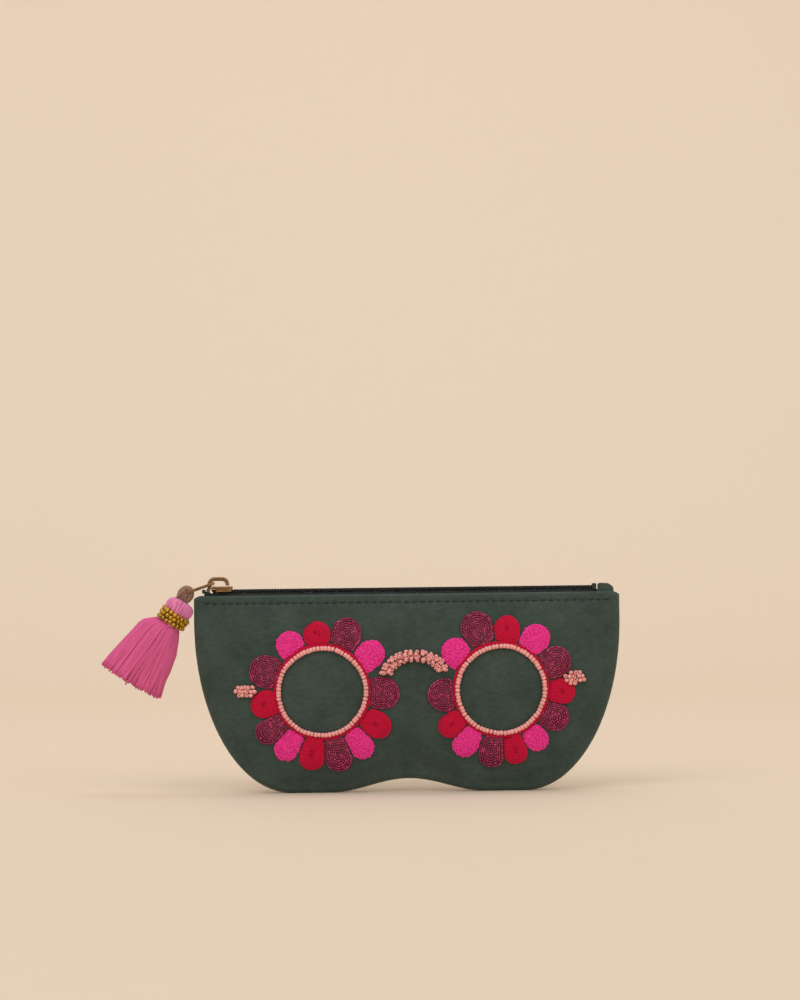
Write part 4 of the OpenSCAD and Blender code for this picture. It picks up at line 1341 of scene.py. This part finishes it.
def make_tassel_head():
    """Threads folded over the loop and brought down to the collar."""
    rng = np.random.default_rng(61)
    s = np.array([0.15, 0.0, 0.4, 1.2, 2.4, 3.8, 4.9, 5.7, 6.8, 9.4, 12.8])
    r = np.array([0.5, 2.4, 4.3, 5.6, 6.3, 6.45, 6.3, 5.9, 5.5, 5.3, 5.2])
    fine = np.linspace(0, len(s) - 1, 26)
    s, r = np.interp(fine, range(len(s)), s), np.interp(fine, range(len(r)), r)
    parts = Parts()
    count = 54
    for k in range(count):
        phi = 2 * np.pi * (k + rng.uniform(-0.25, 0.25)) / count
        curl = phi + 0.10 * np.sin(fine * 0.4 + rng.uniform(0, 6))
        rr = r + rng.normal(0, 0.12)
        thread = hang(s, rr * np.cos(curl), rr * np.sin(curl))
        parts.add(*tube(thread, 0.44, 6), tone=rng.uniform(0.15, 0.95))
    core, faces = spindle([(0.3, -0.3), (2.4, -0.1), (4.8, -1.1), (6.1, -2.8), (6.1, -4.6), (5.2, -6.8),
                           (5.0, -13.2)], 40)
    parts.add(hang(-core[:, 2], core[:, 0], core[:, 1]), [f[:, ::-1] for f in faces], 0.2)
    ride_tassel(parts.build("tassel_head_threads", MATERIALS["head"]), "tassel", "tassel_head")


def make_tassel_collar():
    """Three rows of gold beads bound round the neck."""
    rng = np.random.default_rng(62)
    size = mm("gold_bead")
    _, down, wide, deep = tassel_frame()
    parts = Parts()
    for row in range(3):
        n = 20
        phi = 2 * np.pi * (np.arange(n) + 0.5 * (row % 2) + rng.normal(0, 0.10, n)) / n
        r = 6.35 + rng.normal(0, 0.10, n)
        s = 6.8 + row * 2.0 + rng.normal(0, 0.16, n)
        along = unit(np.outer(-np.sin(phi), wide) + np.outer(np.cos(phi), deep)
                     + rng.normal(0, 0.2, (n, 3)))
        side_ = unit(np.cross(np.broadcast_to(down, (n, 3)), along))
        axes = np.stack([side_, np.cross(along, side_), along], 1)
        stamp(parts, seed_shape(size * 1.05, size * 0.86, 0.18), hang(s, r * np.cos(phi), r * np.sin(phi)), axes,
              rng.uniform(0.1, 1, n), scale=rng.uniform(0.92, 1.08, n))
    ride_tassel(parts.build("tassel_collar_gold", MATERIALS["gold"]), "tassel",
                "tassel_collar_beads")


def make_tassel_skirt():
    """Loose cotton threads that fan out to a cut end."""
    rng = np.random.default_rng(63)
    count, size = sizes().tassel_threads, mm("skirt_length")
    wide, deep, r = mm("skirt_width") / 2, mm("skirt_depth") / 2, mm("thread") / 2
    t = np.linspace(0, 1, 15)
    parts = Parts()
    for k in range(count):
        outer = k % 5 < 3
        rho = rng.uniform(0.90, 1.0) if outer else math.sqrt(rng.uniform(0.02, 0.85))
        phi = rng.uniform(0, 2 * np.pi)
        c, s = math.cos(phi), math.sin(phi)
        reach = np.interp(t, (0, 0.1, 0.17, 0.5, 1), (0.34, 0.60, 0.74, 0.86, 1.0)) * wide * 1.05 if c < 0 else \
            np.interp(t, (0, 0.06, 0.27, 0.66, 1), (0.34, 0.38, 0.57, 0.81, 1.0)) * wide * 0.93
        a = rho * c * reach
        b = rho * s * (5.0 + (deep - 5.0) * t ** 0.7)
        sway = rng.uniform(0.1, 0.55) * np.sin(t * rng.uniform(3, 8) + rng.uniform(0, 6)) * t
        sway2 = rng.uniform(0.1, 0.5) * np.sin(t * rng.uniform(3, 8) + rng.uniform(0, 6)) * t
        cut = size + rng.normal(0, 0.5) - 0.7 * abs(c) * rho - 0.4 * c
        parts.add(*tube(hang(11.9 + cut * t, a + sway, b + sway2), r * rng.uniform(0.85, 1.12), 5),
                  tone=rng.uniform(0.05, 1.0) * (1.0 if outer else 0.7))
    core, faces = spindle([(4.6, -12.8), (6.0, -16), (8.4, -23), (9.8, -31), (10.6, -40), (9.8, -43.0)], 40)
    parts.add(hang(-core[:, 2], core[:, 0] * wide / 12.2, core[:, 1] * deep / 12.2), [f[:, ::-1] for f in faces],
              0.15)
    ride_tassel(parts.build("tassel_skirt_threads", MATERIALS["tassel"]), "tassel",
                "tassel_skirt")


# --------------------------------------------------------------------------- the stage
def make_stage():
    """Floor that curves up into a backdrop, soft lights and the camera."""
    scene = bpy.context.scene
    profile = [(-3.0, 0.0), (-1.0, 0.0), (0.2, 0.0)]
    profile += [(0.75 + 0.9 * math.sin(a), 0.9 - 0.9 * math.cos(a)) for a in np.linspace(0, np.pi / 2, 24)]
    profile += [(1.65, 2.5), (1.65, 5.0)]
    x = np.linspace(-4, 4, 9)
    verts = np.array([(a, y, z) for y, z in profile for a in x]) / MM - ORIGIN
    rows, cols = len(profile), len(x)
    i, j = np.meshgrid(np.arange(rows - 1), np.arange(cols - 1), indexing="ij")
    quads = np.stack([i * cols + j, i * cols + j + 1,
                      (i + 1) * cols + j + 1, (i + 1) * cols + j], -1).reshape(-1, 4)
    parts = Parts()
    parts.add(verts, [quads])
    parts.build("studio_sweep", MATERIALS["floor"])

    world = bpy.data.worlds.new("studio")
    world.use_nodes = True
    world.node_tree.nodes["Background"].inputs[0].default_value = (1.0, 0.985, 0.965, 1)
    world.node_tree.nodes["Background"].inputs[1].default_value = 0.66
    scene.world = world
    for name, spot, aim, width, power in (
            ("key", (-0.9, -1.5, 1.7), (0, 0, 0.05), 1.5, 14),
            ("fill", (1.5, -1.6, 0.9), (0, 0, 0.05), 1.6, 8),
            ("top", (0.1, 0.3, 1.9), (0, 0.1, 0.0), 1.2, 3),
            ("backdrop", (0.0, 0.2, 1.5), (0, 1.65, 0.7), 1.4, 4.5)):
        light = bpy.data.lights.new(name, "AREA")
        light.size = width
        light.energy = power
        obj = bpy.data.objects.new(name, light)
        obj.location = spot
        ray = np.array(aim) - np.array(spot)
        obj.rotation_euler = Vector(ray).to_track_quat("-Z", "Y").to_euler()
        scene.collection.objects.link(obj)

    distance, height = 1.5, 0.137
    left_of_middle = 2.5
    nearer = 0.006
    frame_height = 0.4675
    tilt = math.radians(0.7)
    camera = bpy.data.cameras.new("camera")
    camera.sensor_fit = "VERTICAL"
    camera.sensor_height = 36
    camera.lens = camera.sensor_height * distance / frame_height
    camera.clip_end = 20
    eye = bpy.data.objects.new("camera", camera)
    eye.location = ((MID_X - left_of_middle) * MM, -distance - nearer, height)
    eye.rotation_euler = (math.pi / 2, tilt, 0)
    scene.collection.objects.link(eye)
    scene.camera = eye
    scene.view_settings.view_transform = "Standard"


# --------------------------------------------------------------------------- operators
class PouchStep(bpy.types.Operator):
    """What every step of the pouch shares"""
    bl_options = {"REGISTER", "UNDO"}


class POUCH_OT_materials(PouchStep):
    """Make the shared effects and the materials"""
    bl_idname = "pouch.materials"
    bl_label = "Materials"

    def execute(self, context):
        make_materials()
        return {"FINISHED"}


class POUCH_OT_drape(PouchStep):
    """Settle the padded cloth by simulation"""
    bl_idname = "pouch.drape"
    bl_label = "Settle the cloth"

    def execute(self, context):
        drape_cloth()
        return {"FINISHED"}


class POUCH_OT_panels(PouchStep):
    """Make both padded halves"""
    bl_idname = "pouch.panels"
    bl_label = "Padded panels"

    def execute(self, context):
        make_panel("back")
        make_panel("front")
        return {"FINISHED"}


class POUCH_OT_linings(PouchStep):
    """Make both linings"""
    bl_idname = "pouch.linings"
    bl_label = "Linings"

    def execute(self, context):
        make_lining("back")
        make_lining("front")
        return {"FINISHED"}


class POUCH_OT_topstitch(PouchStep):
    """Sew the topstitching along the mouth"""
    bl_idname = "pouch.topstitch"
    bl_label = "Topstitching"

    def execute(self, context):
        make_topstitch("back")
        make_topstitch("front")
        return {"FINISHED"}


class POUCH_OT_zip(PouchStep):
    """Make the tapes, coils, stops and end tab"""
    bl_idname = "pouch.zip"
    bl_label = "Zip"

    def execute(self, context):
        for side in ("back", "front"):
            make_tape(side)
            make_coil(side)
        make_stops_and_tab()
        return {"FINISHED"}


class POUCH_OT_slider(PouchStep):
    """Make the slider with its bridge"""
    bl_idname = "pouch.slider"
    bl_label = "Slider"

    def execute(self, context):
        make_slider()
        return {"FINISHED"}


class POUCH_OT_puller(PouchStep):
    """Make the puller"""
    bl_idname = "pouch.puller"
    bl_label = "Puller"

    def execute(self, context):
        make_puller()
        return {"FINISHED"}


class POUCH_OT_chain_petals(PouchStep):
    """Stitch the crimson petals and their base rings"""
    bl_idname = "pouch.chain_petals"
    bl_label = "Chain-stitched petals"

    def execute(self, context):
        make_petals("chain")
        make_petal_base("left")
        make_petal_base("right")
        return {"FINISHED"}


class POUCH_OT_knot_petals(PouchStep):
    """Stitch the hot pink knotted petals"""
    bl_idname = "pouch.knot_petals"
    bl_label = "Knotted petals"

    def execute(self, context):
        make_petals("knot")
        return {"FINISHED"}


class POUCH_OT_beaded_petals(PouchStep):
    """Couch the magenta beaded petals"""
    bl_idname = "pouch.beaded_petals"
    bl_label = "Beaded petals"

    def execute(self, context):
        make_petals("bead")
        return {"FINISHED"}


class POUCH_OT_lens_beads(PouchStep):
    """String the beads round both lenses"""
    bl_idname = "pouch.lens_beads"
    bl_label = "Lens beads"

    def execute(self, context):
        make_lens_beads("left")
        make_lens_beads("right")
        return {"FINISHED"}


class POUCH_OT_nose_beads(PouchStep):
    """Pile the bead rope over the nose and the temple clusters"""
    bl_idname = "pouch.nose_beads"
    bl_label = "Nose and temple beads"

    def execute(self, context):
        make_nose_beads()
        make_temple_beads("left")
        make_temple_beads("right")
        return {"FINISHED"}


class POUCH_OT_tassel(PouchStep):
    """Make the tassel's loop, head, collar and skirt"""
    bl_idname = "pouch.tassel"
    bl_label = "Tassel"

    def execute(self, context):
        make_tassel_loop()
        make_tassel_head()
        make_tassel_collar()
        make_tassel_skirt()
        return {"FINISHED"}


class POUCH_OT_stage(PouchStep):
    """Set the floor, lights and camera"""
    bl_idname = "pouch.stage"
    bl_label = "Stage"

    def execute(self, context):
        make_stage()
        return {"FINISHED"}


STEPS = (POUCH_OT_materials, POUCH_OT_drape, POUCH_OT_panels, POUCH_OT_linings, POUCH_OT_topstitch,
         POUCH_OT_zip, POUCH_OT_slider, POUCH_OT_puller, POUCH_OT_chain_petals,
         POUCH_OT_knot_petals, POUCH_OT_beaded_petals, POUCH_OT_lens_beads, POUCH_OT_nose_beads,
         POUCH_OT_tassel, POUCH_OT_stage)


class POUCH_PT_panel(bpy.types.Panel):
    """Lists the sizes, colours and steps"""
    bl_label = "Pouch"
    bl_idname = "POUCH_PT_panel"
    bl_space_type = "VIEW_3D"
    bl_region_type = "UI"
    bl_category = "Pouch"

    def draw(self, context):
        for group in (context.scene.pouch_sizes, context.scene.pouch_colours):
            column = self.layout.box().column()
            for name in group.__annotations__:
                column.prop(group, name)
        for step in STEPS:
            self.layout.operator(step.bl_idname)


CLASSES = (PouchSizes, PouchColours, *STEPS, POUCH_PT_panel)


def register():
    for cls in CLASSES:
        bpy.utils.register_class(cls)
    bpy.types.Scene.pouch_sizes = PointerProperty(type=PouchSizes)
    bpy.types.Scene.pouch_colours = PointerProperty(type=PouchColours)


def unregister():
    del bpy.types.Scene.pouch_colours
    del bpy.types.Scene.pouch_sizes
    for cls in reversed(CLASSES):
        bpy.utils.unregister_class(cls)


def main():
    register()
    for step in STEPS:
        group, name = step.bl_idname.split(".")
        getattr(getattr(bpy.ops, group), name)()


if __name__ == "__main__":
    main()
